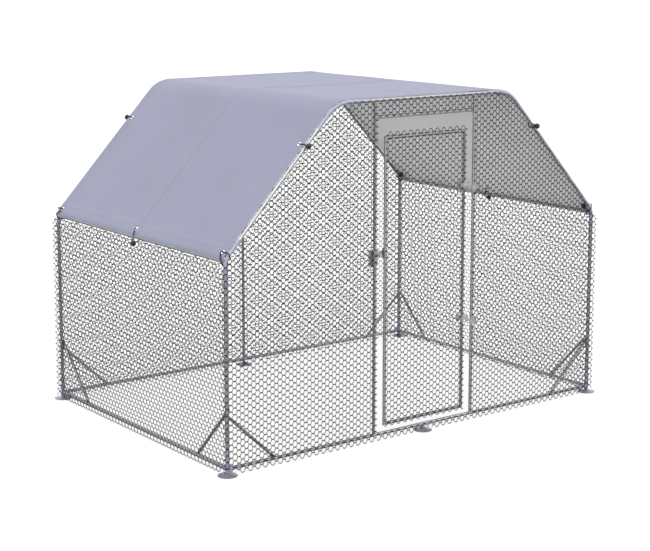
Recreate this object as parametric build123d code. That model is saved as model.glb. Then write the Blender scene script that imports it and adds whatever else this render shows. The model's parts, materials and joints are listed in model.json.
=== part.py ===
# Walk-in poultry run: a tube frame with a flat-topped gable, netting on every wall,
# a cover tied over the roof and a hinged door in the front gable.
# Millimetres, +Z up. The origin lies on the ground at the centre of the footprint.
# The door gable faces -Y, and the eaves run along Y.

import os
from dataclasses import dataclass
from math import asin, atan2, ceil, cos, hypot, pi, sin, tan

from build123d import *

# Frame, measured between tube axes
FRAME_WIDTH = 2780.0
FRAME_DEPTH = 1900.0
EAVE_HEIGHT = 1195.0
TOP_HEIGHT = 1985.0
TOP_WIDTH = 1300.0
BOTTOM_HEIGHT = 38.0
EAVE_TUBE_DROP = 15.0

# Tubes, and the sleeves that join them
TUBE_DIAMETER = 20.0
TUBE_WALL = 1.0
TUBE_INSERT = 45.0
SLEEVE_CLEARANCE = 0.2
SLEEVE_WALL = 1.3
SLEEVE_RUNOUT = 1.0
BRANCH_STEP = 0.4
FOOT_ARM = 90.0
EAVE_ARM = 130.0
TOP_ARM = 180.0
PURLIN_ARM = 95.0
EAVE_BEND_RADIUS = 120.0
TOP_BEND_RADIUS = 200.0
SEAT_GAP = 0.05

# Dished plate under each foot
FOOT_DIAMETER = 110.0
FOOT_RIM = 3.0
FOOT_DISH_DIAMETER = 50.0
FOOT_DISH_HEIGHT = 8.0
FOOT_NECK_HEIGHT = 15.0

# Screws
SCREW_DIAMETER = 4.0
SCREW_HOLE_DIAMETER = 4.4
SCREW_HEAD_DIAMETER = 8.0
SCREW_HEAD_HEIGHT = 2.5
SCREW_GRIP = 5.0

# Corner braces: tubes with flattened, screwed ends
BRACE_DIAMETER = 18.0
BRACE_REACH = 320.0
BRACE_RISE = 300.0
BRACE_STAGGER = 30.0
BRACE_TAB_WIDTH = 18.0
BRACE_TAB_THICKNESS = 3.0
BRACE_TAB_FLAT = 14.0
BRACE_TAB_FLARE = 22.0

# Doorway and door leaf, between tube axes
DOORWAY_WIDTH = 752.0
HEADER_DROP = 95.0
LEAF_GAP = 78.0
LEAF_SILL_GAP = 55.0
LEAF_HEAD_GAP = 120.0
LEAF_NET_RISE = 36.0

# Hinges: a split clamp with a pin on the post, a split clamp with an eye on the leaf
HINGE_RISE = 535.0
HINGE_DROP = 330.0
HINGE_CLAMP_HEIGHT = 30.0
HINGE_CLAMP_WALL = 3.0
HINGE_EAR_LENGTH = 26.0
HINGE_EAR_WIDTH = 9.0
HINGE_EAR_SLIT = 3.0
HINGE_ARM_WIDTH = 10.0
HINGE_ARM_HEIGHT = 12.0
HINGE_PIN_DIAMETER = 8.0
HINGE_PIN_CLEARANCE = 0.05
HINGE_PIN_TOP = 6.0
HINGE_EYE_WALL = 4.5
HINGE_EYE_HEIGHT = 20.0
HINGE_LIFT = 0.3

# Latch: a flat bar that slides in straps on the door post and enters a keeper on the leaf
LATCH_HEIGHT = 1100.0
LATCH_PLATE_WIDTH = 66.0
LATCH_PLATE_MARGIN = 7.6
LATCH_PLATE_THICKNESS = 2.0
LATCH_SCREW_GAP = 8.6
LATCH_SCREW_PITCH = 24.0
LATCH_SCREW_MARGIN = 11.0
LATCH_BAR_HEIGHT = 36.0
LATCH_BAR_THICKNESS = 4.0
LATCH_BAR_TAIL = 31.0
LATCH_BAR_STANDOFF = 2.0
LATCH_CLEARANCE = 0.4
LATCH_STRAP_WIDTH = 10.0
LATCH_STRAP_THICKNESS = 2.0
LATCH_STRAP_PITCH = 24.0
KEEPER_WIDTH = 20.0
KEEPER_MARGIN = 8.0
KNOB_STEM_DIAMETER = 8.0
KNOB_STEM_GAP = 6.0
KNOB_STEM_REACH = 24.0
KNOB_DIAMETER = 20.0
KNOB_LENGTH = 14.0
KNOB_EDGE_RADIUS = 3.0

# Netting: flat panels outside the tubes, with long six-sided gaps
NET_CLEARANCE = 0.3
NET_THICKNESS = 1.5
NET_STRAND = 3.0
NET_PITCH_ALONG = 118.0
NET_PITCH_ACROSS = 80.0
NET_TWIST = 38.0
NET_BOTTOM = 6.0
NET_POST_OVERHANG = 30.0
NET_TUBE_OVERHANG = -4.0
NET_PANEL_GAP = 2.0
NET_SMALLEST_GAP = 150.0
NET_NOTCH_MARGIN = 3.0

# Cover over both slopes and the flat top
COVER_THICKNESS = 1.5
COVER_CLEARANCE = 0.5
COVER_END_INSET = 2.0
COVER_EAVE_DROP = 9.0

# Ties: elastic loops through eyelets in the cover, each with a ball
EYELET_HOLE_DIAMETER = 13.5
EYELET_BARREL_WALL = 0.6
EYELET_FLANGE_DIAMETER = 22.5
EYELET_FLANGE_THICKNESS = 1.2
EYELET_GAP = 0.1
CORD_DIAMETER = 6.0
CORD_SLACK = 1.0
CORD_BEND = 8.0
STRAND_GAP = 0.9
BALL_DIAMETER = 34.0
BALL_HOLE_CLEARANCE = 0.1
SLOPE_TIE_DROP = 307.451
SLOPE_EYELET_INSET = 45.0
EAVE_EYELET_PLACE = 30.0
EAVE_BALL_DROP = 29.0
EAVE_BALL_SKEW = 33.0
CORNER_TIE_PLACE = 32.0
CORNER_EYELET_INSET = 40.0
CORNER_CREST = 11.0
CORNER_CREST_RADIUS = 6.0
TIE_NOTCH_HALF = 24.0

# Worked-out sizes
HALF_WIDTH = FRAME_WIDTH / 2
HALF_DEPTH = FRAME_DEPTH / 2
HALF_TOP = TOP_WIDTH / 2
TUBE_RADIUS = TUBE_DIAMETER / 2
BORE_RADIUS = TUBE_RADIUS + SLEEVE_CLEARANCE
SLEEVE_RADIUS = BORE_RADIUS + SLEEVE_WALL
SLOPE_RUN = HALF_WIDTH - HALF_TOP
SLOPE_RISE = TOP_HEIGHT - EAVE_HEIGHT
SLOPE_ANGLE = atan2(SLOPE_RISE, SLOPE_RUN)
EAVE_TUBE_HEIGHT = EAVE_HEIGHT - EAVE_TUBE_DROP
SLOPE_TIE_PLACE = hypot(SLOPE_RUN, SLOPE_RISE) - SLOPE_TIE_DROP
HALF_DOORWAY = DOORWAY_WIDTH / 2
HEADER_HEIGHT = TOP_HEIGHT - HEADER_DROP
LEAF_BOTTOM = BOTTOM_HEIGHT + LEAF_SILL_GAP
LEAF_TOP = HEADER_HEIGHT - LEAF_HEAD_GAP
HINGE_HEIGHTS = (LEAF_BOTTOM + HINGE_RISE, LEAF_TOP - HINGE_DROP)
HALF_LEAF = HALF_DOORWAY - LEAF_GAP
HINGE_X = (HALF_DOORWAY + HALF_LEAF) / 2
NET_INNER = SLEEVE_RADIUS + NET_CLEARANCE
NET_OUTER = NET_INNER + NET_THICKNESS
COVER_INNER = SLEEVE_RADIUS + COVER_CLEARANCE
COVER_OUTER = COVER_INNER + COVER_THICKNESS
COVER_MIDDLE = (COVER_INNER + COVER_OUTER) / 2
CORD_RADIUS = CORD_DIAMETER / 2
BALL_RADIUS = BALL_DIAMETER / 2

X, Y, Z = Vector(1, 0, 0), Vector(0, 1, 0), Vector(0, 0, 1)
SIDES = {"left": -1, "right": 1}
ENDS = {"front": -1, "rear": 1}
BOTTOM_ALIGN = (Align.CENTER, Align.CENTER, Align.MIN)

nodes = {}


def rod(start, end, radius):
    """Solid cylinder between two points."""
    span = end - start
    return Plane(origin=start, z_dir=span) * Cylinder(radius, span.length, align=BOTTOM_ALIGN)


def pipe(start, end, outer, inner):
    """Hollow cylinder between two points."""
    return rod(start, end, outer) - rod(start, end, inner)


def block(low, high):
    """Box between two opposite corners."""
    size = high - low
    centre = (low + high) * 0.5
    return Pos(centre.X, centre.Y, centre.Z) * Box(size.X, size.Y, size.Z)


def slope_up(side):
    """Direction up a roof slope, from the eave to the flat top."""
    return Vector(-side * cos(SLOPE_ANGLE), 0, sin(SLOPE_ANGLE))


def slope_out(side):
    """Direction square to a roof slope, out of the roof."""
    return Vector(side * sin(SLOPE_ANGLE), 0, cos(SLOPE_ANGLE))


def eave_corner(side, y):
    """Where the post and slope axes of one gable meet."""
    return Vector(side * HALF_WIDTH, y, EAVE_HEIGHT)


@dataclass(frozen=True)
class Screw:
    """A screw into a tube: a point on the tube's axis, the side it enters and the head's seat."""

    centre: Vector
    side: Vector
    seat: float

    def at(self, radius):
        """Point on the screw's axis, this far from the tube's axis."""
        return self.centre + self.side * radius

    def hole(self):
        """Clearance hole through everything that the screw holds."""
        return rod(self.centre, self.at(self.seat + SCREW_HEAD_HEIGHT), SCREW_HOLE_DIAMETER / 2)

    def solid(self):
        """The shank and its head."""
        shank = rod(self.at(self.seat - SCREW_GRIP), self.at(self.seat), SCREW_DIAMETER / 2)
        head = rod(self.at(self.seat), self.at(self.seat + SCREW_HEAD_HEIGHT), SCREW_HEAD_DIAMETER / 2)
        return shank + head


@dataclass(frozen=True)
class Socket:
    """One arm of a connector: its start, its direction, its reach and the side that takes a screw."""

    root: Vector
    direction: Vector
    reach: float
    side: Vector

    def at(self, distance):
        """Point on the arm's axis, this far from its start."""
        return self.root + self.direction * distance

    def mouth(self):
        """End of the arm."""
        return self.at(self.reach)

    def seat(self):
        """Where the end of the tube stops inside the arm."""
        return self.at(self.reach - TUBE_INSERT)

    def arm(self, radius):
        """Outside of the arm."""
        return rod(self.root, self.mouth(), radius)

    def bore(self):
        """Blind bore that takes the tube."""
        bottom = self.reach - TUBE_INSERT - SLEEVE_RUNOUT
        return rod(self.at(bottom), self.at(self.reach + SLEEVE_RUNOUT), BORE_RADIUS)

    def screw(self):
        """Screw that holds the tube, halfway along the overlap."""
        return Screw(self.at(self.reach - TUBE_INSERT / 2), self.side, SLEEVE_RADIUS)


def drilled(body, cutters):
    """Body with every cutter taken out of it."""
    for cutter in cutters:
        body = body - cutter
    return body


def straight_tube(first, second, more_screws=()):
    """Tube from the seat of one socket to the seat of another, drilled for its screws."""
    body = pipe(first.seat(), second.seat(), TUBE_RADIUS, TUBE_RADIUS - TUBE_WALL)
    return drilled(body, [screw.hole() for screw in (first.screw(), second.screw(), *more_screws)])


def foot(place, sockets):
    """Dished plate with the connector that stands on it."""
    neck = SLEEVE_RADIUS
    profile = Polyline(
        (0, 0),
        (FOOT_DIAMETER / 2, 0),
        (FOOT_DIAMETER / 2, FOOT_RIM),
        (FOOT_DISH_DIAMETER / 2, FOOT_DISH_HEIGHT),
        (neck, FOOT_NECK_HEIGHT),
        (neck, place.Z),
        (0, place.Z),
        close=True,
    )
    plate = revolve(make_face(Plane.XZ * profile), Axis.Z)
    body = Pos(place.X, place.Y, 0) * plate
    for socket in sockets:
        body = body + socket.arm(SLEEVE_RADIUS)
    body = drilled(body, [socket.bore() for socket in sockets])
    return drilled(body, [socket.screw().hole() for socket in sockets])


def bend(first, second, radius, branch):
    """Bent connector between two arms that share a corner, with a third arm branching off it."""
    path = FilletPolyline(first.mouth(), first.root, second.mouth(), radius=radius)
    start = Plane(origin=first.mouth(), z_dir=first.direction * -1)
    outer = sweep(start * Circle(SLEEVE_RADIUS), path=path)
    inner = sweep(start * Circle(TUBE_RADIUS - TUBE_WALL), path=path)
    body = outer + branch.arm(SLEEVE_RADIUS - BRANCH_STEP) - inner
    sockets = (first, second, branch)
    body = drilled(body, [socket.bore() for socket in sockets])
    return drilled(body, [socket.screw().hole() for socket in sockets])


def brace(high, low, inward):
    """Brace between two tube axes, flattened at both ends and screwed to the tubes' inner faces."""
    offset = inward * (TUBE_RADIUS + SEAT_GAP + BRACE_TAB_THICKNESS / 2)
    start, end = high + offset, low + offset
    along = (end - start).normalized()
    flare_end = BRACE_TAB_FLAT + BRACE_TAB_FLARE
    body = rod(start + along * flare_end, end - along * flare_end, BRACE_DIAMETER / 2)
    for tip, heading in ((start, along), (end, along * -1)):
        flat = Plane(origin=tip + heading * BRACE_TAB_FLAT, x_dir=inward, z_dir=heading)
        round_end = Plane(origin=tip + heading * flare_end, x_dir=inward, z_dir=heading)
        section = flat * Rectangle(BRACE_TAB_THICKNESS, BRACE_TAB_WIDTH)
        flare = loft([section.face(), (round_end * Circle(BRACE_DIAMETER / 2)).face()])
        tab = extrude(section, amount=-BRACE_TAB_FLAT)
        half_tab = inward * (BRACE_TAB_THICKNESS / 2)
        nose = rod(tip - half_tab, tip + half_tab, BRACE_TAB_WIDTH / 2)
        body = body + flare + tab + nose
    return body


def brace_screw(point, inward):
    """Screw through a brace's flattened end into a tube."""
    return Screw(point, inward, TUBE_RADIUS + SEAT_GAP + BRACE_TAB_THICKNESS)


def net_gap(place, along_v):
    """Corners of one six-sided gap, drawn in by half a strand, with its long axis along v or u."""
    half_twist = (NET_TWIST - NET_STRAND) / 2
    half_across = (2 * NET_PITCH_ACROSS - NET_TWIST - NET_STRAND) / 2
    half_along = (NET_PITCH_ALONG - NET_STRAND) / 2
    corners = [
        (half_twist, half_along),
        (half_across, 0),
        (half_twist, -half_along),
        (-half_twist, -half_along),
        (-half_across, 0),
        (-half_twist, half_along),
    ]
    if not along_v:
        corners = [(v, -u) for u, v in corners]
    return [(place[0] + u, place[1] + v) for u, v in corners]


def clipped(polygon, outline, margin):
    """Part of a polygon that lies inside a convex, anticlockwise outline by at least the margin."""
    for (u0, v0), (u1, v1) in zip(outline, outline[1:] + outline[:1]):
        length = hypot(u1 - u0, v1 - v0)
        inward = (-(v1 - v0) / length, (u1 - u0) / length)
        depths = [(u - u0) * inward[0] + (v - v0) * inward[1] - margin for u, v in polygon]
        kept = []
        for index, (point, depth) in enumerate(zip(polygon, depths)):
            previous, before = polygon[index - 1], depths[index - 1]
            if (depth > 0) != (before > 0):
                share = before / (before - depth)
                kept.append(tuple(a + (b - a) * share for a, b in zip(previous, point)))
            if depth > 0:
                kept.append(point)
        polygon = kept
        if not polygon:
            return []
    return polygon


def polygon_area(polygon):
    """Area inside a polygon."""
    pairs = zip(polygon, polygon[1:] + polygon[:1])
    return abs(sum(u0 * v1 - u1 * v0 for (u0, v0), (u1, v1) in pairs)) / 2


def without_repeats(polygon):
    """Polygon without corners closer together than a tenth of a strand."""
    least = NET_STRAND / 10
    kept = []
    for index, point in enumerate(polygon):
        previous = polygon[index - 1]
        if hypot(point[0] - previous[0], point[1] - previous[1]) > least:
            kept.append(point)
    return kept


def net_panel(plane, outline, along_v, notches):
    """Net over a convex outline: one holed face, made thick and notched round the fittings."""
    step_u, step_v = NET_PITCH_ACROSS, NET_PITCH_ALONG
    if not along_v:
        step_u, step_v = step_v, step_u
    low_u, high_u = min(u for u, _ in outline), max(u for u, _ in outline)
    low_v, high_v = min(v for _, v in outline), max(v for _, v in outline)
    columns = ceil((high_u - low_u) / step_u) + 1
    rows = ceil((high_v - low_v) / step_v) + 1
    holes = []
    for column in range(-1, columns):
        for row in range(-1, rows):
            shift_u = 0 if along_v else (row % 2) * step_u / 2
            shift_v = (column % 2) * step_v / 2 if along_v else 0
            place = (low_u + column * step_u + shift_u, low_v + row * step_v + shift_v)
            gap = without_repeats(clipped(net_gap(place, along_v), outline, NET_STRAND))
            if len(gap) > 2 and polygon_area(gap) > NET_SMALLEST_GAP:
                holes.append(gap)
    outer, *inner = [
        Wire.make_polygon([plane.from_local_coords((u, v, 0)) for u, v in polygon], close=True)
        for polygon in (outline, *holes)
    ]
    body = extrude(Face(outer, inner), amount=NET_THICKNESS, dir=plane.z_dir)
    body = drilled(body, notches)
    print("net gaps", len(holes))
    return max(body.solids(), key=lambda solid: solid.volume)


# Connectors and their sockets
foot_up, foot_x, foot_y = {}, {}, {}
eave_down, eave_slope, eave_purlin = {}, {}, {}
top_slope, top_flat, top_purlin = {}, {}, {}
top_turn = SLOPE_ANGLE / 2
ridge_drop = TOP_BEND_RADIUS * (1 / cos(top_turn) - 1)
eave_bend_run = EAVE_BEND_RADIUS * tan((pi / 2 - SLOPE_ANGLE) / 2)
eave_branch_turn = asin((eave_bend_run - EAVE_TUBE_DROP) / EAVE_BEND_RADIUS)
EAVE_TUBE_X = HALF_WIDTH - EAVE_BEND_RADIUS * (1 - cos(eave_branch_turn))

for end, end_sign in ENDS.items():
    for side, side_sign in SIDES.items():
        key = (end, side)
        y = end_sign * HALF_DEPTH
        inward_x, inward_y = X * -side_sign, Y * -end_sign
        ground = Vector(side_sign * HALF_WIDTH, y, BOTTOM_HEIGHT)
        foot_up[key] = Socket(ground, Z, FOOT_ARM, inward_y)
        foot_x[key] = Socket(ground, inward_x, FOOT_ARM, inward_y)
        foot_y[key] = Socket(ground, inward_y, FOOT_ARM, inward_x)
        nodes[f"foot_{end}_{side}"] = foot(ground, (foot_up[key], foot_x[key], foot_y[key]))

        corner = eave_corner(side_sign, y)
        rising = slope_up(side_sign)
        eave_down[key] = Socket(corner, Z * -1, EAVE_ARM, inward_y)
        eave_slope[key] = Socket(corner, rising, EAVE_ARM, inward_y)
        branch = Vector(side_sign * EAVE_TUBE_X, y, EAVE_TUBE_HEIGHT)
        eave_purlin[key] = Socket(branch, inward_y, PURLIN_ARM, inward_x)
        elbow = bend(eave_down[key], eave_slope[key], EAVE_BEND_RADIUS, eave_purlin[key])
        nodes[f"eave_elbow_{end}_{side}"] = elbow

        top = Vector(side_sign * HALF_TOP, y, TOP_HEIGHT)
        ridge = top - Vector(side_sign * sin(top_turn), 0, cos(top_turn)) * ridge_drop
        top_slope[key] = Socket(top, rising * -1, TOP_ARM, inward_y)
        top_flat[key] = Socket(top, inward_x, TOP_ARM, inward_y)
        top_purlin[key] = Socket(ridge, inward_y, PURLIN_ARM, Z * -1)
        elbow = bend(top_slope[key], top_flat[key], TOP_BEND_RADIUS, top_purlin[key])
        nodes[f"top_elbow_{end}_{side}"] = elbow

middle_x = {}
for end, end_sign in ENDS.items():
    middle = Vector(0, end_sign * HALF_DEPTH, BOTTOM_HEIGHT)
    for side, side_sign in SIDES.items():
        middle_x[(end, side)] = Socket(middle, X * side_sign, FOOT_ARM, Y * -end_sign)
rear_middle = Vector(0, HALF_DEPTH, BOTTOM_HEIGHT)
middle_up = Socket(rear_middle, Z, FOOT_ARM, Y * -1)
nodes["foot_front_middle"] = foot(
    Vector(0, -HALF_DEPTH, BOTTOM_HEIGHT),
    (middle_x[("front", "left")], middle_x[("front", "right")]),
)
nodes["foot_rear_middle"] = foot(
    rear_middle,
    (middle_x[("rear", "left")], middle_x[("rear", "right")], middle_up),
)

# Corner braces and the screws that hold them
braces = []
gable_brace_screws, side_brace_screws = {}, {}
for end, end_sign in ENDS.items():
    for side, side_sign in SIDES.items():
        key = (end, side)
        inward_x, inward_y = X * -side_sign, Y * -end_sign
        ground = foot_up[key].root
        high = ground + Z * BRACE_RISE
        low = ground + inward_x * BRACE_REACH
        gable_brace_screws[key] = (brace_screw(high, inward_y), brace_screw(low, inward_y))
        gable_brace = brace(high, low, inward_y)
        high = ground + Z * (BRACE_RISE + BRACE_STAGGER)
        low = ground + inward_y * BRACE_REACH
        side_brace_screws[key] = (brace_screw(high, inward_x), brace_screw(low, inward_x))
        side_brace = brace(high, low, inward_x)
        braces.append(drilled(gable_brace, [screw.hole() for screw in gable_brace_screws[key]]))
        braces.append(drilled(side_brace, [screw.hole() for screw in side_brace_screws[key]]))
nodes["corner_braces"] = Compound(children=braces)

# Straight tubes of the frame
for end in ENDS:
    for side in SIDES:
        key = (end, side)
        post_screws = (gable_brace_screws[key][0], side_brace_screws[key][0])
        nodes[f"post_{end}_{side}"] = straight_tube(foot_up[key], eave_down[key], post_screws)
        nodes[f"slope_tube_{end}_{side}"] = straight_tube(eave_slope[key], top_slope[key])
        bottom_screws = (gable_brace_screws[key][1],)
        nodes[f"bottom_tube_{end}_{side}"] = straight_tube(foot_x[key], middle_x[key], bottom_screws)
    nodes[f"top_tube_{end}"] = straight_tube(top_flat[(end, "left")], top_flat[(end, "right")])
for side in SIDES:
    front, rear = ("front", side), ("rear", side)
    bottom_screws = (side_brace_screws[front][1], side_brace_screws[rear][1])
    nodes[f"bottom_tube_{side}"] = straight_tube(foot_y[front], foot_y[rear], bottom_screws)
    nodes[f"eave_tube_{side}"] = straight_tube(eave_purlin[front], eave_purlin[rear])
    nodes[f"ridge_tube_{side}"] = straight_tube(top_purlin[front], top_purlin[rear])

# Door posts, header and rear post, coped to the tubes that they meet
cope = TUBE_RADIUS + SEAT_GAP
along_x = X * HALF_WIDTH


def across(y, z):
    """Room for a tube along X at one depth and height."""
    centre = Vector(0, y, z)
    return rod(centre - along_x, centre + along_x, cope)


top_room = across(-HALF_DEPTH, TOP_HEIGHT)
bottom_room = across(-HALF_DEPTH, BOTTOM_HEIGHT)
latch_post = Vector(-HALF_DOORWAY, -HALF_DEPTH, LATCH_HEIGHT)
latch_seat = TUBE_RADIUS + SEAT_GAP + LATCH_PLATE_THICKNESS
half_bar = LATCH_BAR_HEIGHT / 2
half_slot = half_bar + LATCH_CLEARANCE
half_strap = half_slot + LATCH_STRAP_THICKNESS
latch_screw_drop = half_strap + LATCH_SCREW_GAP
latch_screw_drops = (latch_screw_drop, latch_screw_drop + LATCH_SCREW_PITCH)
latch_screws = [Screw(latch_post - Z * drop, Y, latch_seat) for drop in latch_screw_drops]
header_ends = []
for side, side_sign in SIDES.items():
    base = Vector(side_sign * HALF_DOORWAY, -HALF_DEPTH, BOTTOM_HEIGHT)
    crown = Vector(side_sign * HALF_DOORWAY, -HALF_DEPTH, TOP_HEIGHT)
    post = pipe(base, crown, TUBE_RADIUS, TUBE_RADIUS - TUBE_WALL) - top_room - bottom_room
    if side == "left":
        post = drilled(post, [screw.hole() for screw in latch_screws])
    nodes[f"door_post_{side}"] = post
    header_ends.append(rod(base, crown, cope))
header_left = Vector(-HALF_DOORWAY, -HALF_DEPTH, HEADER_HEIGHT)
header_right = Vector(HALF_DOORWAY, -HALF_DEPTH, HEADER_HEIGHT)
header = pipe(header_left, header_right, TUBE_RADIUS, TUBE_RADIUS - TUBE_WALL)
nodes["door_header"] = drilled(header, header_ends)
rear_crown = Vector(0, HALF_DEPTH, TOP_HEIGHT)
rear_post = pipe(middle_up.seat(), rear_crown, TUBE_RADIUS, TUBE_RADIUS - TUBE_WALL)
nodes["rear_post"] = rear_post - across(HALF_DEPTH, TOP_HEIGHT) - middle_up.screw().hole()

# Door leaf: one welded frame with mitred corners
leaf_corners = [
    Vector(-HALF_LEAF, -HALF_DEPTH, LEAF_BOTTOM),
    Vector(HALF_LEAF, -HALF_DEPTH, LEAF_BOTTOM),
    Vector(HALF_LEAF, -HALF_DEPTH, LEAF_TOP),
    Vector(-HALF_LEAF, -HALF_DEPTH, LEAF_TOP),
]
leaf_start = (leaf_corners[0] + leaf_corners[1]) * 0.5
leaf_path = Polyline(leaf_start, *leaf_corners[1:], leaf_corners[0], leaf_start)
leaf_section = Plane(origin=leaf_start, z_dir=X)
leaf_outer, leaf_inner = [
    sweep(leaf_section * Circle(radius), path=leaf_path, transition=Transition.RIGHT)
    for radius in (TUBE_RADIUS, TUBE_RADIUS - TUBE_WALL)
]
nodes["leaf_frame"] = leaf_outer - leaf_inner

# Hinges
clamp_inner = TUBE_RADIUS + SEAT_GAP
clamp_outer = clamp_inner + HINGE_CLAMP_WALL
ear_end = clamp_outer + HINGE_EAR_LENGTH
ear_screw_place = clamp_outer + HINGE_EAR_LENGTH / 2


def hinge_clamp(place, far):
    """Split ring round an upright tube, standing on its place, with a pair of ears on its far side."""
    top = Z * HINGE_CLAMP_HEIGHT
    ring = rod(place, place + top, clamp_outer)
    ears = block(
        Vector(min(0, far * ear_end), -HINGE_EAR_WIDTH / 2, 0),
        Vector(max(0, far * ear_end), HINGE_EAR_WIDTH / 2, HINGE_CLAMP_HEIGHT),
    )
    slit = block(
        Vector(min(0, far * (ear_end + 1)), -HINGE_EAR_SLIT / 2, -1),
        Vector(max(0, far * (ear_end + 1)), HINGE_EAR_SLIT / 2, HINGE_CLAMP_HEIGHT + 1),
    )
    moved = Pos(place.X, place.Y, place.Z)
    return ring + moved * ears - moved * slit - rod(place - Z, place + top + Z, clamp_inner)


def ear_bolt(place, far):
    """Bolt, with its head and nut, through the middle of a clamp's ears, and the hole that it needs."""
    centre = place + X * (far * ear_screw_place) + Z * (HINGE_CLAMP_HEIGHT / 2)
    half_grip = Y * (HINGE_EAR_WIDTH / 2)
    cap = Y * (HINGE_EAR_WIDTH / 2 + SCREW_HEAD_HEIGHT)
    shank = rod(centre - half_grip, centre + half_grip, SCREW_DIAMETER / 2)
    caps = [rod(centre + half_grip * sign, centre + cap * sign, SCREW_HEAD_DIAMETER / 2) for sign in (-1, 1)]
    hole = rod(centre - cap, centre + cap, SCREW_HOLE_DIAMETER / 2)
    return shank + caps[0] + caps[1], hole


def hinge_arm(place, near_x, low, height):
    """Flat arm from a clamp's ring to the hinge axis."""
    start = place.X + (clamp_inner + HINGE_CLAMP_WALL / 2) * (1 if near_x > place.X else -1)
    return block(
        Vector(min(start, near_x), place.Y - HINGE_ARM_WIDTH / 2, low),
        Vector(max(start, near_x), place.Y + HINGE_ARM_WIDTH / 2, low + height),
    )


pin_radius = HINGE_PIN_DIAMETER / 2
eye_bore = pin_radius + HINGE_PIN_CLEARANCE
eye_radius = eye_bore + HINGE_EYE_WALL
pintles, eyes, post_bolts, leaf_bolts = [], [], [], []
for height in HINGE_HEIGHTS:
    pivot = Vector(HINGE_X, -HALF_DEPTH, height)
    post_place = Vector(HALF_DOORWAY, -HALF_DEPTH, height - HINGE_CLAMP_HEIGHT)
    bolt, hole = ear_bolt(post_place, 1)
    shelf = hinge_arm(post_place, HINGE_X, height - HINGE_ARM_HEIGHT, HINGE_ARM_HEIGHT)
    boss = rod(pivot - Z * HINGE_ARM_HEIGHT, pivot, eye_radius)
    pin_top = HINGE_LIFT + HINGE_EYE_HEIGHT + HINGE_PIN_TOP
    pin = rod(pivot - Z * HINGE_ARM_HEIGHT, pivot + Z * pin_top, pin_radius)
    pintles.append(hinge_clamp(post_place, 1) + shelf + boss + pin - hole)
    post_bolts.append(bolt)

    leaf_place = Vector(HALF_LEAF, -HALF_DEPTH, height + HINGE_LIFT)
    bolt, hole = ear_bolt(leaf_place, -1)
    eye_top = Z * HINGE_EYE_HEIGHT
    eye_base = pivot + Z * HINGE_LIFT
    arm = hinge_arm(leaf_place, HINGE_X, leaf_place.Z, HINGE_EYE_HEIGHT)
    eye = hinge_clamp(leaf_place, -1) + arm + rod(eye_base, eye_base + eye_top, eye_radius)
    eyes.append(eye - rod(eye_base - Z, eye_base + eye_top + Z, eye_bore) - hole)
    leaf_bolts.append(bolt)
nodes["hinge_pintles"] = Compound(children=pintles)
nodes["hinge_eyes"] = Compound(children=eyes)
nodes["leaf_hinge_bolts"] = Compound(children=leaf_bolts)

# Latch
plate_low = -HALF_DEPTH + TUBE_RADIUS + SEAT_GAP
plate_high = plate_low + LATCH_PLATE_THICKNESS
slot_high = plate_high + LATCH_BAR_THICKNESS + 2 * LATCH_CLEARANCE
strap_high = slot_high + LATCH_STRAP_THICKNESS
knob_x = -HALF_DOORWAY + TUBE_RADIUS + KNOB_STEM_GAP + KNOB_STEM_DIAMETER / 2


def guide_strap(x, width):
    """Strap that bridges the sliding bar, standing on a plate's inner face."""
    low, high = x - width / 2, x + width / 2
    solid = block(
        Vector(low, plate_high, LATCH_HEIGHT - half_strap),
        Vector(high, strap_high, LATCH_HEIGHT + half_strap),
    )
    room = block(
        Vector(low - 1, plate_high, LATCH_HEIGHT - half_slot),
        Vector(high + 1, slot_high, LATCH_HEIGHT + half_slot),
    )
    return solid - room


half_plate = LATCH_PLATE_WIDTH / 2
latch_plate_below = latch_screw_drops[1] + LATCH_SCREW_MARGIN
latch_plate_above = half_strap + LATCH_PLATE_MARGIN
latch_plate = block(
    Vector(-HALF_DOORWAY - half_plate, plate_low, LATCH_HEIGHT - latch_plate_below),
    Vector(-HALF_DOORWAY + half_plate, plate_high, LATCH_HEIGHT + latch_plate_above),
)
stem_room = KNOB_STEM_DIAMETER / 2 + LATCH_CLEARANCE
stem_slot = block(
    Vector(knob_x - stem_room, plate_low - 1, LATCH_HEIGHT - stem_room),
    Vector(-HALF_DOORWAY + half_plate + 1, plate_high + 1, LATCH_HEIGHT + stem_room),
)
latch_plate = latch_plate - stem_slot
near_strap = -HALF_DOORWAY + half_plate - LATCH_STRAP_WIDTH / 2
for strap_x in (near_strap - LATCH_STRAP_PITCH, near_strap):
    latch_plate = latch_plate + guide_strap(strap_x, LATCH_STRAP_WIDTH)
nodes["latch_plate"] = drilled(latch_plate, [screw.hole() for screw in latch_screws])

half_keeper = KEEPER_WIDTH / 2
keeper_plate = block(
    Vector(-HALF_LEAF - half_keeper, plate_low, LATCH_HEIGHT - half_strap - KEEPER_MARGIN),
    Vector(-HALF_LEAF + half_keeper, plate_high, LATCH_HEIGHT + half_strap + KEEPER_MARGIN),
)
nodes["latch_keeper"] = keeper_plate + guide_strap(-HALF_LEAF, KEEPER_WIDTH)

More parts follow.
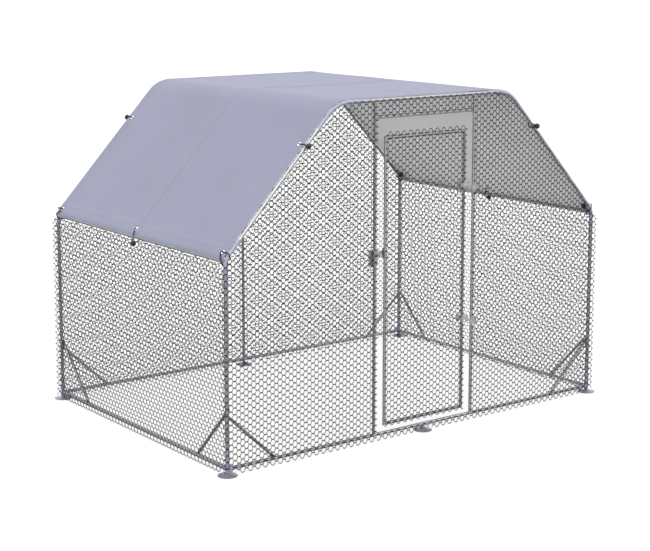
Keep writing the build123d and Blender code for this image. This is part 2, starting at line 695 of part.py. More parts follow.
bar_outer = plate_high + LATCH_CLEARANCE
bar_end = -HALF_LEAF - half_keeper - LATCH_BAR_STANDOFF
bar = block(
    Vector(-HALF_DOORWAY - LATCH_BAR_TAIL, bar_outer, LATCH_HEIGHT - half_bar),
    Vector(bar_end, bar_outer + LATCH_BAR_THICKNESS, LATCH_HEIGHT + half_bar),
)
stem_root = Vector(knob_x, bar_outer + LATCH_BAR_THICKNESS / 2, LATCH_HEIGHT)
stem_tip = Vector(knob_x, -HALF_DEPTH - KNOB_STEM_REACH, LATCH_HEIGHT)
knob = rod(stem_tip, stem_tip - Y * KNOB_LENGTH, KNOB_DIAMETER / 2)
knob = fillet(knob.edges(), KNOB_EDGE_RADIUS)
nodes["latch_bar"] = bar + rod(stem_root, stem_tip, KNOB_STEM_DIAMETER / 2) + knob

# Screws of the frame, with the bolts of the hinge clamps on the post
foot_sockets = (foot_up, foot_x, foot_y, middle_x)
elbow_sockets = (eave_down, eave_slope, eave_purlin, top_slope, top_flat, top_purlin)
sockets = [socket for group in (*foot_sockets, *elbow_sockets) for socket in group.values()]
frame_screws = [socket.screw() for socket in (*sockets, middle_up)]
for group in (gable_brace_screws, side_brace_screws):
    for pair in group.values():
        frame_screws.extend(pair)
frame_screws.extend(latch_screws)
nodes["frame_screws"] = Compound(children=[screw.solid() for screw in frame_screws] + post_bolts)

# Cover


def cover_path(offset):
    """Cross-section line of the cover, this far outside the tube axes, from the left eave to the right."""
    overrun = offset * tan(top_turn)
    points = []
    for side_sign in SIDES.values():
        low = eave_corner(side_sign, 0) - slope_up(side_sign) * COVER_EAVE_DROP
        low = low + slope_out(side_sign) * offset
        high = Vector(side_sign * (HALF_TOP + overrun), 0, TOP_HEIGHT + offset)
        points.extend((low, high) if side_sign < 0 else (high, low))
    return FilletPolyline(*points, radius=TOP_BEND_RADIUS + offset)


cover_in, cover_out = cover_path(COVER_INNER), cover_path(COVER_OUTER)
cover_ends = [Line(cover_in @ 0, cover_out @ 0), Line(cover_in @ 1, cover_out @ 1)]
cover_face = make_face([*cover_in.edges(), *cover_out.edges(), *(line.edge() for line in cover_ends)])
half_cover = HALF_DEPTH - COVER_END_INSET
cover = extrude(cover_face, amount=half_cover, dir=(0, 1, 0), both=True)

# Eyelets, ties and the room that they need in the netting
eyelet_bore = EYELET_HOLE_DIAMETER / 2
eyelet_barrel = eyelet_bore + EYELET_BARREL_WALL
eyelet_flange = EYELET_FLANGE_DIAMETER / 2
flange_low = COVER_THICKNESS / 2 + EYELET_GAP
flange_high = flange_low + EYELET_FLANGE_THICKNESS


def eyelet(centre, out):
    """Ring through the cover with a flange on each face."""
    body = pipe(centre - out * flange_high, centre + out * flange_high, eyelet_barrel, eyelet_bore)
    for sign in (-1, 1):
        near, far = out * (sign * flange_low), out * (sign * flange_high)
        body = body + pipe(centre + near, centre + far, eyelet_flange, eyelet_bore)
    return body


def tie(centre, route, radii, square):
    """Elastic loop with both ends in a ball, and the ball itself.

    The route starts and ends inside the ball, and square is a direction at right angles to both ends.
    """
    path = FilletPolyline(*route, radius=radii)
    cord = sweep(Plane(origin=path @ 0, z_dir=path % 0) * Circle(CORD_RADIUS), path=path)
    leave, back = (route[1] - route[0]).normalized(), (route[-2] - route[-1]).normalized()
    ball = Plane(origin=centre, x_dir=(leave + back) * -1, z_dir=square) * Sphere(BALL_RADIUS)
    for start, heading in ((route[0], leave), (route[-1], back)):
        bottom = start - heading * BALL_HOLE_CLEARANCE
        ball = ball - rod(bottom, bottom + heading * BALL_DIAMETER, CORD_RADIUS + BALL_HOLE_CLEARANCE)
    swept_share = cord.volume / (pi * CORD_RADIUS**2 * path.length)
    ball_share = ball.volume / (pi * BALL_DIAMETER**3 / 6)
    print("tie length", round(path.length), "least radius", min(radii), "swept share", round(swept_share, 4))
    print("ball share", round(ball_share, 3))
    return cord, ball


def from_ball(centre, points):
    """Route with both ends drawn into a ball, towards its middle."""
    ends = [centre + (point - centre).normalized() * (BALL_RADIUS / 2) for point in (points[0], points[-1])]
    return [ends[0], *points, ends[1]]


@dataclass(frozen=True)
class RoofCorner:
    """Place of one eave corner, and points counted from where its post and slope axes meet."""

    side_sign: int
    end_sign: int

    def on_slope(self, along, inward, outward):
        """Point this far up the slope, in from the gable and square out of the slope."""
        place = eave_corner(self.side_sign, self.end_sign * (HALF_DEPTH - inward))
        return place + slope_up(self.side_sign) * along + slope_out(self.side_sign) * outward

    def beside(self, outward, inward, rise):
        """Point this far out from the post, in from the gable and above the corner."""
        place = eave_corner(self.side_sign, self.end_sign * (HALF_DEPTH - inward))
        return place + X * (self.side_sign * outward) + Z * rise


def notch(origin, u, n, half_u, low_n, high_n):
    """Room in a gable net beside a sloping tube, square to the net."""
    middle = origin + n * ((low_n + high_n) / 2)
    plane = Plane(origin=middle, x_dir=u, z_dir=Y)
    return plane * Box(2 * half_u, high_n - low_n, 4 * NET_OUTER)


def side_notch(origin):
    """Room in a side net below an eave tube."""
    return block(
        origin - X * (2 * NET_OUTER) - Y * TIE_NOTCH_HALF - Z * (1.5 * BALL_DIAMETER),
        origin + X * (2 * NET_OUTER) + Y * TIE_NOTCH_HALF + Z * BALL_DIAMETER,
    )


cord_over = COVER_OUTER + CORD_RADIUS + CORD_SLACK
ball_out = NET_OUTER + BALL_RADIUS + CORD_SLACK
cords, balls, eyelets, cover_holes = [], [], [], []
gable_notches = {end: [] for end in ENDS}
side_notches = {side: [] for side in SIDES}


def add_eyelet(centre, out):
    """Place one eyelet and the hole that it needs in the cover."""
    eyelets.append(eyelet(centre, out))
    reach = out * COVER_OUTER
    cover_holes.append(rod(centre - reach, centre + reach, eyelet_barrel + EYELET_GAP))


half_strands = CORD_RADIUS + STRAND_GAP / 2
crest = COVER_MIDDLE + flange_high + CORNER_CREST
corner_ball_place = COVER_MIDDLE - flange_high - BALL_RADIUS - EYELET_GAP
clear_of_elbow = SLEEVE_RADIUS + CORD_RADIUS + 1.5 * CORD_SLACK
below_arm = SLEEVE_RADIUS + CORD_RADIUS + 4.5 * CORD_SLACK
for side, side_sign in SIDES.items():
    up, out = slope_up(side_sign), slope_out(side_sign)
    for end, end_sign in ENDS.items():
        corner = RoofCorner(side_sign, end_sign)

        # Halfway tie on a sloping tube, with its ball outside
        origin = corner.on_slope(SLOPE_TIE_PLACE, 0, 0)
        under = TUBE_RADIUS + CORD_RADIUS + 4 * CORD_SLACK
        centre = corner.on_slope(SLOPE_TIE_PLACE, -ball_out, TUBE_RADIUS / 2)
        points = [
            corner.on_slope(SLOPE_TIE_PLACE, -TUBE_RADIUS / 2, cord_over),
            corner.on_slope(SLOPE_TIE_PLACE, SLOPE_EYELET_INSET, cord_over + CORD_SLACK),
            corner.on_slope(SLOPE_TIE_PLACE, SLOPE_EYELET_INSET, COVER_INNER - 2 * CORD_BEND),
            corner.on_slope(SLOPE_TIE_PLACE, 0, -under),
        ]
        radii = [2 * TUBE_RADIUS, CORD_BEND, CORD_BEND, under]
        cord, ball = tie(centre, from_ball(centre, points), radii, up)
        cords.append(cord)
        balls.append(ball)
        add_eyelet(corner.on_slope(SLOPE_TIE_PLACE, SLOPE_EYELET_INSET, COVER_MIDDLE), out)
        gable_notches[end].append(notch(origin, up, out, TIE_NOTCH_HALF, -BALL_DIAMETER, BALL_DIAMETER))

        # Corner tie: both strands leave through the eyelet, one passes over the gable and one over the eave,
        # and they join behind the elbow, while the ball stays under the cover
        origin = corner.on_slope(CORNER_TIE_PLACE, 0, 0)
        centre = corner.on_slope(CORNER_TIE_PLACE, CORNER_EYELET_INSET, corner_ball_place)
        knot = corner_ball_place + BALL_RADIUS / 2
        gable_strand, eave_strand = CORNER_EYELET_INSET - half_strands, CORNER_EYELET_INSET + half_strands
        below_eave = EAVE_TUBE_DROP + below_arm
        edge = -COVER_EAVE_DROP - CORD_RADIUS
        low_place = CORNER_TIE_PLACE / 2
        route = [
            corner.on_slope(CORNER_TIE_PLACE, gable_strand, knot),
            corner.on_slope(CORNER_TIE_PLACE, gable_strand, crest),
            corner.on_slope(CORNER_TIE_PLACE, gable_strand - 2 * CORD_BEND, cord_over),
            corner.on_slope(CORNER_TIE_PLACE, -clear_of_elbow, cord_over),
            corner.on_slope(low_place, -clear_of_elbow, -below_arm),
            corner.on_slope(low_place - CORD_RADIUS, clear_of_elbow, -below_arm - CORD_BEND),
            corner.beside(-SLEEVE_RADIUS - CORD_BEND, clear_of_elbow, -below_eave + 2 * CORD_SLACK),
            corner.beside(0, clear_of_elbow, -below_eave),
            corner.beside(clear_of_elbow - CORD_SLACK, clear_of_elbow, -below_eave + 2 * CORD_BEND),
            corner.on_slope(edge, clear_of_elbow, cord_over + CORD_SLACK),
            corner.on_slope(CORNER_TIE_PLACE - 2.5 * CORD_BEND, eave_strand, cord_over),
            corner.on_slope(CORNER_TIE_PLACE, eave_strand, crest),
            corner.on_slope(CORNER_TIE_PLACE, eave_strand, knot),
        ]
        turn = CORNER_CREST_RADIUS
        wide = 2 * CORD_BEND
        tight = CORD_BEND
        radii = [turn, wide, 1.5 * tight, 1.5 * tight, tight, tight, tight, wide, tight, tight, turn]
        cord, ball = tie(centre, route, radii, up)
        cords.append(cord)
        balls.append(ball)
        add_eyelet(corner.on_slope(CORNER_TIE_PLACE, CORNER_EYELET_INSET, COVER_MIDDLE), out)
        gable_notches[end].append(notch(origin, up, out, TIE_NOTCH_HALF, -2 * BALL_DIAMETER, BALL_DIAMETER))
        branch_end = corner.beside(0, clear_of_elbow, -EAVE_TUBE_DROP)
        side_notches[side].append(side_notch(branch_end))

    # Tie at the middle of the eave, with its ball outside and to the right of the eyelet, seen from outside
    origin = Vector(side_sign * EAVE_TUBE_X, 0, EAVE_TUBE_HEIGHT)
    outward = X * side_sign
    skew = Y * (side_sign * EAVE_BALL_SKEW)
    eyelet_place = eave_corner(side_sign, 0) + up * EAVE_EYELET_PLACE + out * COVER_MIDDLE
    cover_edge = eave_corner(side_sign, 0) + out * cord_over - up * COVER_EAVE_DROP
    inside = TUBE_RADIUS + CORD_RADIUS + 4 * CORD_SLACK
    outside = HALF_WIDTH - EAVE_TUBE_X + ball_out
    centre = origin + outward * outside + skew - Z * EAVE_BALL_DROP
    points = [
        cover_edge + out * CORD_SLACK - up * CORD_BEND + skew * 0.75,
        eyelet_place + out * CORD_BEND,
        eyelet_place - out * (1.5 * CORD_BEND),
        origin - outward * inside - Z * (TUBE_RADIUS / 2) + skew * 0.6,
        origin - Z * (inside + 2 * CORD_SLACK) + skew,
    ]
    radii = [2 * CORD_BEND, CORD_BEND / 2, CORD_BEND / 2, 2 * CORD_BEND, CORD_BEND]
    cord, ball = tie(centre, from_ball(centre, points), radii, Y)
    cords.append(cord)
    balls.append(ball)
    add_eyelet(eyelet_place, out)
    side_notches[side].append(side_notch(origin + skew))

nodes["roof_cover"] = drilled(cover, cover_holes)
nodes["cover_eyelets"] = Compound(children=eyelets)
nodes["tie_cords"] = Compound(children=cords)
nodes["tie_balls"] = Compound(children=balls)


# Netting


def foot_notch(place):
    """Room in a net over one foot plate."""
    reach = FOOT_DIAMETER / 2 + NET_NOTCH_MARGIN
    high = FOOT_NECK_HEIGHT + NET_NOTCH_MARGIN
    return block(place + Vector(-reach, -reach, -place.Z), place + Vector(reach, reach, high - place.Z))


def clamp_notch(place):
    """Room in a net over one hinge clamp."""
    reach = clamp_outer + NET_NOTCH_MARGIN
    low, high = place.Z - NET_NOTCH_MARGIN, place.Z + HINGE_CLAMP_HEIGHT + NET_NOTCH_MARGIN
    return block(Vector(place.X - reach, place.Y - reach, low), Vector(place.X + reach, place.Y, high))


net_edge = TUBE_RADIUS + NET_TUBE_OVERHANG
bend_run = (TOP_BEND_RADIUS + net_edge) * tan(top_turn)


def gable_outline(inner_x):
    """Half of a gable on the +X side, anticlockwise: up to the slope, over the bend and in to one line."""
    up, out = slope_up(1), slope_out(1)
    edge_x = HALF_WIDTH + NET_POST_OVERHANG
    top_z = TOP_HEIGHT + net_edge
    virtual_x = HALF_TOP + net_edge * tan(top_turn)
    on_slope = eave_corner(1, 0) + out * net_edge
    rise = (edge_x - on_slope.X) / up.X
    bisector = Vector(sin(top_turn), 0, cos(top_turn))
    ridge = Vector(HALF_TOP, 0, TOP_HEIGHT) - bisector * ridge_drop + bisector * net_edge
    return [
        (inner_x, NET_BOTTOM),
        (edge_x, NET_BOTTOM),
        (edge_x, on_slope.Z + up.Z * rise),
        (virtual_x + bend_run * cos(SLOPE_ANGLE), top_z - bend_run * sin(SLOPE_ANGLE)),
        (ridge.X, ridge.Z),
        (virtual_x - bend_run, top_z),
        (inner_x, top_z),
    ]


def oblong(half, low, high):
    """Upright oblong outline, anticlockwise."""
    return [(-half, low), (half, low), (half, high), (-half, high)]


def mirrored(outline):
    """Outline on the -X side, kept anticlockwise."""
    return [(-u, v) for u, v in reversed(outline)]


foot_notches = [foot_notch(socket.root) for socket in foot_up.values()]
middle_notches = {end: foot_notch(Vector(0, sign * HALF_DEPTH, BOTTOM_HEIGHT)) for end, sign in ENDS.items()}
post_clamp_notches = [
    clamp_notch(Vector(HALF_DOORWAY, -HALF_DEPTH, height - HINGE_CLAMP_HEIGHT)) for height in HINGE_HEIGHTS
]
leaf_clamp_notches = [
    clamp_notch(Vector(HALF_LEAF, -HALF_DEPTH, height + HINGE_LIFT)) for height in HINGE_HEIGHTS
]
inner_lines = {"front": HALF_DOORWAY - net_edge, "rear": NET_PANEL_GAP / 2}
net_faces = {"front": -HALF_DEPTH - NET_INNER, "rear": HALF_DEPTH + NET_OUTER}
for end in ENDS:
    gable_plane = Plane(origin=(0, net_faces[end], 0), x_dir=X, z_dir=Y * -1)
    for side, side_sign in SIDES.items():
        outline = gable_outline(inner_lines[end])
        if side_sign < 0:
            outline = mirrored(outline)
        notches = foot_notches + [middle_notches[end]] + gable_notches[end]
        if (end, side) == ("front", "right"):
            notches = notches + post_clamp_notches
        nodes[f"net_{end}_{side}"] = net_panel(gable_plane, outline, True, notches)

front_plane = Plane(origin=(0, net_faces["front"], 0), x_dir=X, z_dir=Y * -1)
over_half = inner_lines["front"] - NET_PANEL_GAP
over_outline = oblong(over_half, HEADER_HEIGHT - net_edge, TOP_HEIGHT + net_edge)
nodes["net_over_door"] = net_panel(front_plane, over_outline, True, [])
sill_outline = oblong(over_half, NET_BOTTOM, BOTTOM_HEIGHT + net_edge)
nodes["net_door_sill"] = net_panel(front_plane, sill_outline, True, [middle_notches["front"]])
leaf_outline = oblong(HALF_LEAF + net_edge, LEAF_BOTTOM - net_edge, LEAF_TOP + LEAF_NET_RISE)
nodes["leaf_net"] = net_panel(front_plane, leaf_outline, True, leaf_clamp_notches)

side_half = HALF_DEPTH + NET_INNER - NET_CLEARANCE
side_outline = oblong(side_half, NET_BOTTOM, EAVE_TUBE_HEIGHT + net_edge)
for side, side_sign in SIDES.items():
    outward = X * side_sign
    side_plane = Plane(origin=outward * (HALF_WIDTH + NET_INNER), x_dir=Y * side_sign, z_dir=outward)
    nodes[f"net_{side}"] = net_panel(side_plane, side_outline, False, foot_notches + side_notches[side])

# One file for each piece
os.makedirs("parts", exist_ok=True)
for name, body in nodes.items():
    export_step(body, f"parts/{name}.step")
print(len(nodes), "pieces")
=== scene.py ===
"""Looks of a walk-in poultry run: its netting, its tied-down cover and the finishes of its frame."""

import json
import logging
import math
from dataclasses import dataclass, field
from enum import Enum

import bmesh
import bpy
from mathutils import Matrix, Vector


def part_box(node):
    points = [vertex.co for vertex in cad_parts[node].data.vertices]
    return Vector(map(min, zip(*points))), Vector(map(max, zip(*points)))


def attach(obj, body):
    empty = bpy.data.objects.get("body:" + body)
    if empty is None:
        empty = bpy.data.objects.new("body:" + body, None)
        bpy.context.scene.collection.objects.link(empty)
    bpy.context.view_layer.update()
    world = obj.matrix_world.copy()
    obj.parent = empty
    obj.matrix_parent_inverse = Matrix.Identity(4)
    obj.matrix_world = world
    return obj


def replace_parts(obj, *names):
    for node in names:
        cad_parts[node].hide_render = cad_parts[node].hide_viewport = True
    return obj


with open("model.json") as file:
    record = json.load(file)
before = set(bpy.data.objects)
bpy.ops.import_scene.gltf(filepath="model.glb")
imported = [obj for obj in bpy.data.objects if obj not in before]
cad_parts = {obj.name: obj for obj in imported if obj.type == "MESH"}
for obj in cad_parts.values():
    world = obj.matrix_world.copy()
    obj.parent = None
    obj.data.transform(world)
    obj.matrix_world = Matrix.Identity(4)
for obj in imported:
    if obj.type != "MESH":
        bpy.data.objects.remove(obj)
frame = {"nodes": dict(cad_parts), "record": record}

log = logging.getLogger("poultry_run")

Pair = tuple[float, float]
Ring = list[Pair]
WirePoint = tuple[float, float, float, float]
Point = tuple[float, float, float]
Colour = tuple[float, float, float]
FLAT_MAP = "flat"
GRID_DIGITS = 5


class Signal:
    """A shader socket that takes part in sums. Each sum adds a Math node."""

    def __init__(self, recipe: "Recipe", socket: bpy.types.NodeSocket) -> None:
        """Wrap one output socket of a material's node."""
        self.recipe = recipe
        self.socket = socket

    def _math(self, operation: str, *terms: "Signal | float") -> "Signal":
        """Result of a new Math node with these inputs."""
        return self.recipe.node("ShaderNodeMath", {"operation": operation}, dict(enumerate(terms)))

    def __add__(self, other: "Signal | float") -> "Signal":
        """Sum."""
        return self._math("ADD", self, other)

    def __radd__(self, other: float) -> "Signal":
        """Sum with a number first."""
        return self._math("ADD", other, self)

    def __sub__(self, other: "Signal | float") -> "Signal":
        """Difference."""
        return self._math("SUBTRACT", self, other)

    def __rsub__(self, other: float) -> "Signal":
        """Difference from a number."""
        return self._math("SUBTRACT", other, self)

    def __mul__(self, other: "Signal | float") -> "Signal":
        """Product."""
        return self._math("MULTIPLY", self, other)

    def __rmul__(self, other: float) -> "Signal":
        """Product with a number first."""
        return self._math("MULTIPLY", other, self)

    def __abs__(self) -> "Signal":
        """Size without sign."""
        return self._math("ABSOLUTE", self)

    def below(self, limit: float) -> "Signal":
        """One where this is under the limit, else nothing."""
        return self._math("LESS_THAN", self, limit)

    def wave(self, pitch: float) -> "Signal":
        """Sine of this, with the given distance from crest to crest."""
        return self._math("SINE", self * (2 * math.pi / pitch))


class Recipe:
    """Node tree of one material."""

    def __init__(self, name: str) -> None:
        """Start a material with its shader.

        Args:
            name: name of the material.
        """
        self.material = bpy.data.materials.new(name)
        self.material.use_nodes = True
        self.tree = self.material.node_tree
        self.shader = self.tree.nodes["Principled BSDF"]

    def node(
        self,
        kind: str,
        settings: dict[str, object] | None = None,
        inputs: dict[int | str, object] | None = None,
        output: int | str = 0,
    ) -> Signal:
        """Add one node.

        Args:
            kind: the node's type.
            settings: its properties, set first.
            inputs: values or signals for its sockets.
            output: which of its outputs is wanted.

        Returns:
            The wanted output.
        """
        made = self.tree.nodes.new(kind)
        for key, value in (settings or {}).items():
            setattr(made, key, value)
        self.feed(made, inputs or {})
        return Signal(self, made.outputs[output])

    def feed(self, target: bpy.types.Node, inputs: dict[int | str, object]) -> None:
        """Set or link the sockets of a node.

        Args:
            target: the node.
            inputs: values or signals for its sockets.
        """
        for key, value in inputs.items():
            if isinstance(value, Signal):
                self.tree.links.new(value.socket, target.inputs[key])
            else:
                target.inputs[key].default_value = value

    def coordinates(self) -> Signal:
        """Place in the frame that every piece shares."""
        return self.node("ShaderNodeTexCoord", output="Object")

    def flat(self, axis: str) -> Signal:
        """Place on the flat cloth, along X or Y of its map."""
        return self.axis(self.node("ShaderNodeUVMap", {"uv_map": FLAT_MAP}), axis)

    def axis(self, place: Signal, name: str) -> Signal:
        """One axis of a place: X, Y or Z."""
        return self.node("ShaderNodeSeparateXYZ", None, {0: place}, name)

    def noise(self, scale: float, detail: float) -> Signal:
        """Soft clouds about one half: how many in a metre, and how many finer layers they have."""
        inputs = {"Vector": self.coordinates(), "Scale": scale, "Detail": detail}
        return self.node("ShaderNodeTexNoise", None, inputs)

    def cells(self, scale: float) -> Signal:
        """Random value for each crystal of a metal coating.

        Args:
            scale: crystals in a metre.

        Returns:
            A value from zero to one.
        """
        inputs = {"Vector": self.coordinates(), "Scale": scale}
        colour = self.node("ShaderNodeTexVoronoi", None, inputs, "Color")
        return self.node("ShaderNodeSeparateColor", None, {0: colour}, 0)

    def mix(self, share: Signal, low: object, high: object) -> Signal:
        """Blend of two colours.

        Args:
            share: how much of the second.
            low: first colour, or a signal.
            high: second colour, or a signal.

        Returns:
            The blended colour.
        """
        ends = [value if isinstance(value, Signal) else (*value, 1.0) for value in (low, high)]
        inputs = {0: share, 6: ends[0], 7: ends[1]}
        return self.node("ShaderNodeMix", {"data_type": "RGBA", "clamp_factor": True}, inputs, 2)

    def bump(self, height: Signal, depth: float) -> Signal:
        """Normal of a fine relief, from zero to one, with the depth of a full step in metres."""
        return self.node("ShaderNodeBump", None, {"Height": height, "Distance": depth, "Strength": 1.0})

    def finish(self, inputs: dict[int | str, object]) -> bpy.types.Material:
        """Feed values or signals to the shader's sockets, and give the finished material."""
        self.feed(self.shader, inputs)
        return self.material


@dataclass(frozen=True)
class ZincSteel:
    """Steel with a zinc coat: fine crystals, dull patches and a faint grain, with edges dimmed by its rim.

    Crystals, patches and specks are counted in a metre.
    """

    name: str
    dark: Colour
    light: Colour
    metallic: float
    roughness: float
    crystals: float = 130.0
    patches: float = 9.0
    specks: float = 700.0
    spread: float = 0.14
    grain: float = 0.00006
    gloss: float = 0.5
    rim: float = 1.0

    def material(self) -> bpy.types.Material:
        """Make the material.

        Returns:
            The material.
        """
        recipe = Recipe(self.name)
        crystal = recipe.cells(self.crystals)
        patch = recipe.noise(self.patches, 4.0)
        speck = recipe.noise(self.specks, 2.0)
        share = crystal * 0.45 + patch * 0.8 - 0.12
        rough = self.roughness - self.spread / 2 + crystal * (self.spread * 0.5) + patch * (self.spread * 0.5)
        relief = speck * 0.7 + crystal * 0.3
        return recipe.finish(
            {
                "Base Color": recipe.mix(share, self.dark, self.light),
                "Roughness": rough,
                "Metallic": self.metallic,
                "Specular IOR Level": self.gloss,
                "Specular Tint": (self.rim, self.rim, self.rim, 1.0),
                "Normal": recipe.bump(relief, self.grain),
            }
        )


@dataclass(frozen=True)
class CoatedSteel:
    """Steel with a thin satin coat over it, mottled and slightly uneven, and darker and greyer in patches
    near the ground.

    Clouds and the dimples of its peel are counted in a metre.
    """

    name: str
    dark: Colour
    light: Colour
    metallic: float
    roughness: float
    # Colour that the coat turns to in cloudy patches below the given height near the ground.
    scuff_and_ground_colour: Colour | None = None
    ground_tone_height: float = 0.018
    ground_tone_share: float = 1.7
    clouds: float = 28.0
    peel: float = 420.0
    peel_depth: float = 0.00008
    gloss: float = 0.15
    coat: float = 0.03
    coat_roughness: float = 0.3

    def material(self) -> bpy.types.Material:
        """Make the material.

        Returns:
            The material.
        """
        recipe = Recipe(self.name)
        cloud = recipe.noise(self.clouds, 5.0)
        peel = recipe.noise(self.peel, 2.0)
        share = cloud * 1.5 - 0.25
        colour = recipe.mix(share, self.dark, self.light)
        # Below a set height near the ground, the colour turns darker and greyer in cloudy patches.
        if self.scuff_and_ground_colour:
            height = recipe.axis(recipe.coordinates(), "Z")
            scuff_and_ground_mask = height.below(self.ground_tone_height) * cloud * self.ground_tone_share
            colour = recipe.mix(scuff_and_ground_mask, colour, self.scuff_and_ground_colour)
        return recipe.finish(
            {
                "Base Color": colour,
                "Roughness": self.roughness + (cloud - 0.5) * 0.16,
                "Metallic": self.metallic,
                "Specular IOR Level": self.gloss,
                "Coat Weight": self.coat,
                "Coat Roughness": self.coat_roughness,
                "Normal": recipe.bump(peel, self.peel_depth),
            }
        )


class ClothSide(Enum):
    """Which face of the cover a finish is for."""

    OUTSIDE = "outside"
    INSIDE = "inside"


@dataclass(frozen=True)
class CoverCloth:
    """Coated cloth: a fine weave under a smooth skin, with faint clouding and soft handling creases.

    Clouds and creases are counted in a metre.
    """

    side: ClothSide
    dark: Colour
    light: Colour
    roughness: float
    yarn: float = 0.0024
    clouds: float = 2.3
    creases: float = 5.5
    crease_width: float = 0.012
    gloss: float = 0.0055
    depth: float = 0.0004

    def material(self) -> bpy.types.Material:
        """Make the material.

        Returns:
            The material.
        """
        recipe = Recipe(f"cover_cloth_{self.side.value}")
        along, across = recipe.flat("X"), recipe.flat("Y")
        weave = along.wave(self.yarn) * across.wave(self.yarn)
        cloud = recipe.noise(self.clouds, 5.0)
        crease = abs(recipe.noise(self.creases, 3.0) - 0.5)
        fold = 1 - crease.below(self.crease_width) * 0.25
        share = cloud * 1.1 - 0.05 + weave * 0.05
        relief = weave * 0.25 + fold * 0.5
        return recipe.finish(
            {
                "Base Color": recipe.mix(share, self.dark, self.light),
                "Roughness": self.roughness + (cloud - 0.5) * 0.18 + weave * 0.04,
                "Specular IOR Level": self.gloss,
                "Normal": recipe.bump(relief, self.depth),
            }
        )


@dataclass(frozen=True)
class BraidedElastic:
    """Elastic cord in a woven sleeve: two crossing sets of fine ribs."""

    name: str
    dark: Colour
    light: Colour
    rib: float = 0.0016
    roughness: float = 0.7
    gloss: float = 0.1
    depth: float = 0.0004

    def material(self) -> bpy.types.Material:
        """Make the material.

        Returns:
            The material.
        """
        recipe = Recipe(self.name)
        place = recipe.coordinates()
        x, y, z = (recipe.axis(place, name) for name in "XYZ")
        ribs = (x + y + z).wave(self.rib) * (x - y + z * 0.5).wave(self.rib)
        relief = ribs * 0.5 + 0.5
        return recipe.finish(
            {
                "Base Color": recipe.mix(relief, self.dark, self.light),
                "Roughness": self.roughness + ribs * 0.12,
                "Specular IOR Level": self.gloss,
                "Normal": recipe.bump(relief, self.depth),
            }
        )


@dataclass(frozen=True)
class MouldedPlastic:
    """Hard gloss plastic with fine scuffs. Clouds and scuffs are counted in a metre."""

    name: str
    colour: Colour
    scuff_and_ground_colour: Colour
    roughness: float
    clouds: float = 60.0
    scuffs: float = 240.0
    scuff_width: float = 0.02
    gloss: float = 0.2
    depth: float = 0.00015

    def material(self) -> bpy.types.Material:
        """Make the material.

        Returns:
            The material.
        """
        recipe = Recipe(self.name)
        cloud = recipe.noise(self.clouds, 4.0)
        scuff_and_ground_mask = abs(recipe.noise(self.scuffs, 5.0) - 0.5).below(self.scuff_width)
        return recipe.finish(
            {
                "Base Color": recipe.mix(cloud * 0.5 + scuff_and_ground_mask * 0.4, self.colour, self.scuff_and_ground_colour),
                "Roughness": self.roughness + cloud * 0.12 + scuff_and_ground_mask * 0.15,
                "Specular IOR Level": self.gloss,
                "Normal": recipe.bump(cloud, self.depth),
            }
        )


@dataclass(frozen=True)
class StudioFloor:
    """Pale matt floor with a faint glow, which keeps the shadows on it light."""

    colour: Colour
    glow: float
    clouds: float = 0.8
    shade: float = 0.985
    roughness: float = 0.9
    gloss: float = 0.1

    def material(self) -> bpy.types.Material:
        """Make the material.

        Returns:
            The material.
        """
        recipe = Recipe("studio_floor")
        cloud = recipe.noise(self.clouds, 3.0)
        low = tuple(value * self.shade for value in self.colour)
        return recipe.finish(
            {
                "Base Color": recipe.mix(cloud, low, self.colour),
                "Roughness": self.roughness,
                "Specular IOR Level": self.gloss,
                "Emission Color": (1.0, 1.0, 1.0, 1.0),
                "Emission Strength": self.glow,
            }
        )


TUBE_FINISH = ZincSteel("galvanised_tube", (0.185, 0.188, 0.195), (0.29, 0.294, 0.302), 0.95, 0.3, rim=0.3)
WIRE_FINISH = ZincSteel(
    "netting_wire", (0.006, 0.0063, 0.0066), (0.015, 0.0153, 0.016), 0.1, 0.5, crystals=240.0, gloss=0.1
)
# The connectors turn darker and greyer near the ground, on the plates of their feet.
CONNECTOR_FINISH = CoatedSteel(
    "connector_steel", (0.14, 0.143, 0.19), (0.21, 0.214, 0.27), 0.35, 0.45, scuff_and_ground_colour=(0.10, 0.101, 0.115)
)
FITTING_FINISH = CoatedSteel("fitting_steel", (0.165, 0.167, 0.172), (0.235, 0.237, 0.243), 0.2, 0.42)
SCREW_FINISH = ZincSteel("screw_steel", (0.30, 0.30, 0.31), (0.52, 0.52, 0.53), 0.8, 0.3, crystals=500.0)
EYELET_FINISH = ZincSteel("eyelet_metal", (0.62, 0.62, 0.63), (0.82, 0.82, 0.83), 0.95, 0.22, crystals=600.0)
OUTER_CLOTH = CoverCloth(ClothSide.OUTSIDE, (0.121, 0.124, 0.163), (0.141, 0.1445, 0.1875), 0.55)
INNER_CLOTH = CoverCloth(ClothSide.INSIDE, (0.53, 0.532, 0.54), (0.60, 0.602, 0.61), 0.6)
CORD_FINISH = BraidedElastic("elastic_cord", (0.002, 0.002, 0.0025), (0.008, 0.008, 0.0085))
BALL_FINISH = MouldedPlastic("tie_ball", (0.004, 0.004, 0.0045), (0.014, 0.014, 0.015), 0.2)
FLOOR_FINISH = StudioFloor((0.10, 0.10, 0.10), 0.80)


def centre_of(node: str) -> Vector:
    """Middle of a node's box."""
    low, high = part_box(node)
    return (low + high) / 2


def placed(name: str, data: bpy.types.ID) -> bpy.types.Object:
    """Put a mesh, curve, light or camera in the scene.

    Args:
        name: name of its object.
        data: what the object holds.

    Returns:
        The object.
    """
    made = bpy.data.objects.new(name, data)
    bpy.context.scene.collection.objects.link(made)
    return made


def evaluated(holder: bpy.types.Object) -> bpy.types.Mesh:
    """Mesh of an object with its bevel or modifiers applied."""
    graph = bpy.context.evaluated_depsgraph_get()
    return bpy.data.meshes.new_from_object(holder.evaluated_get(graph))


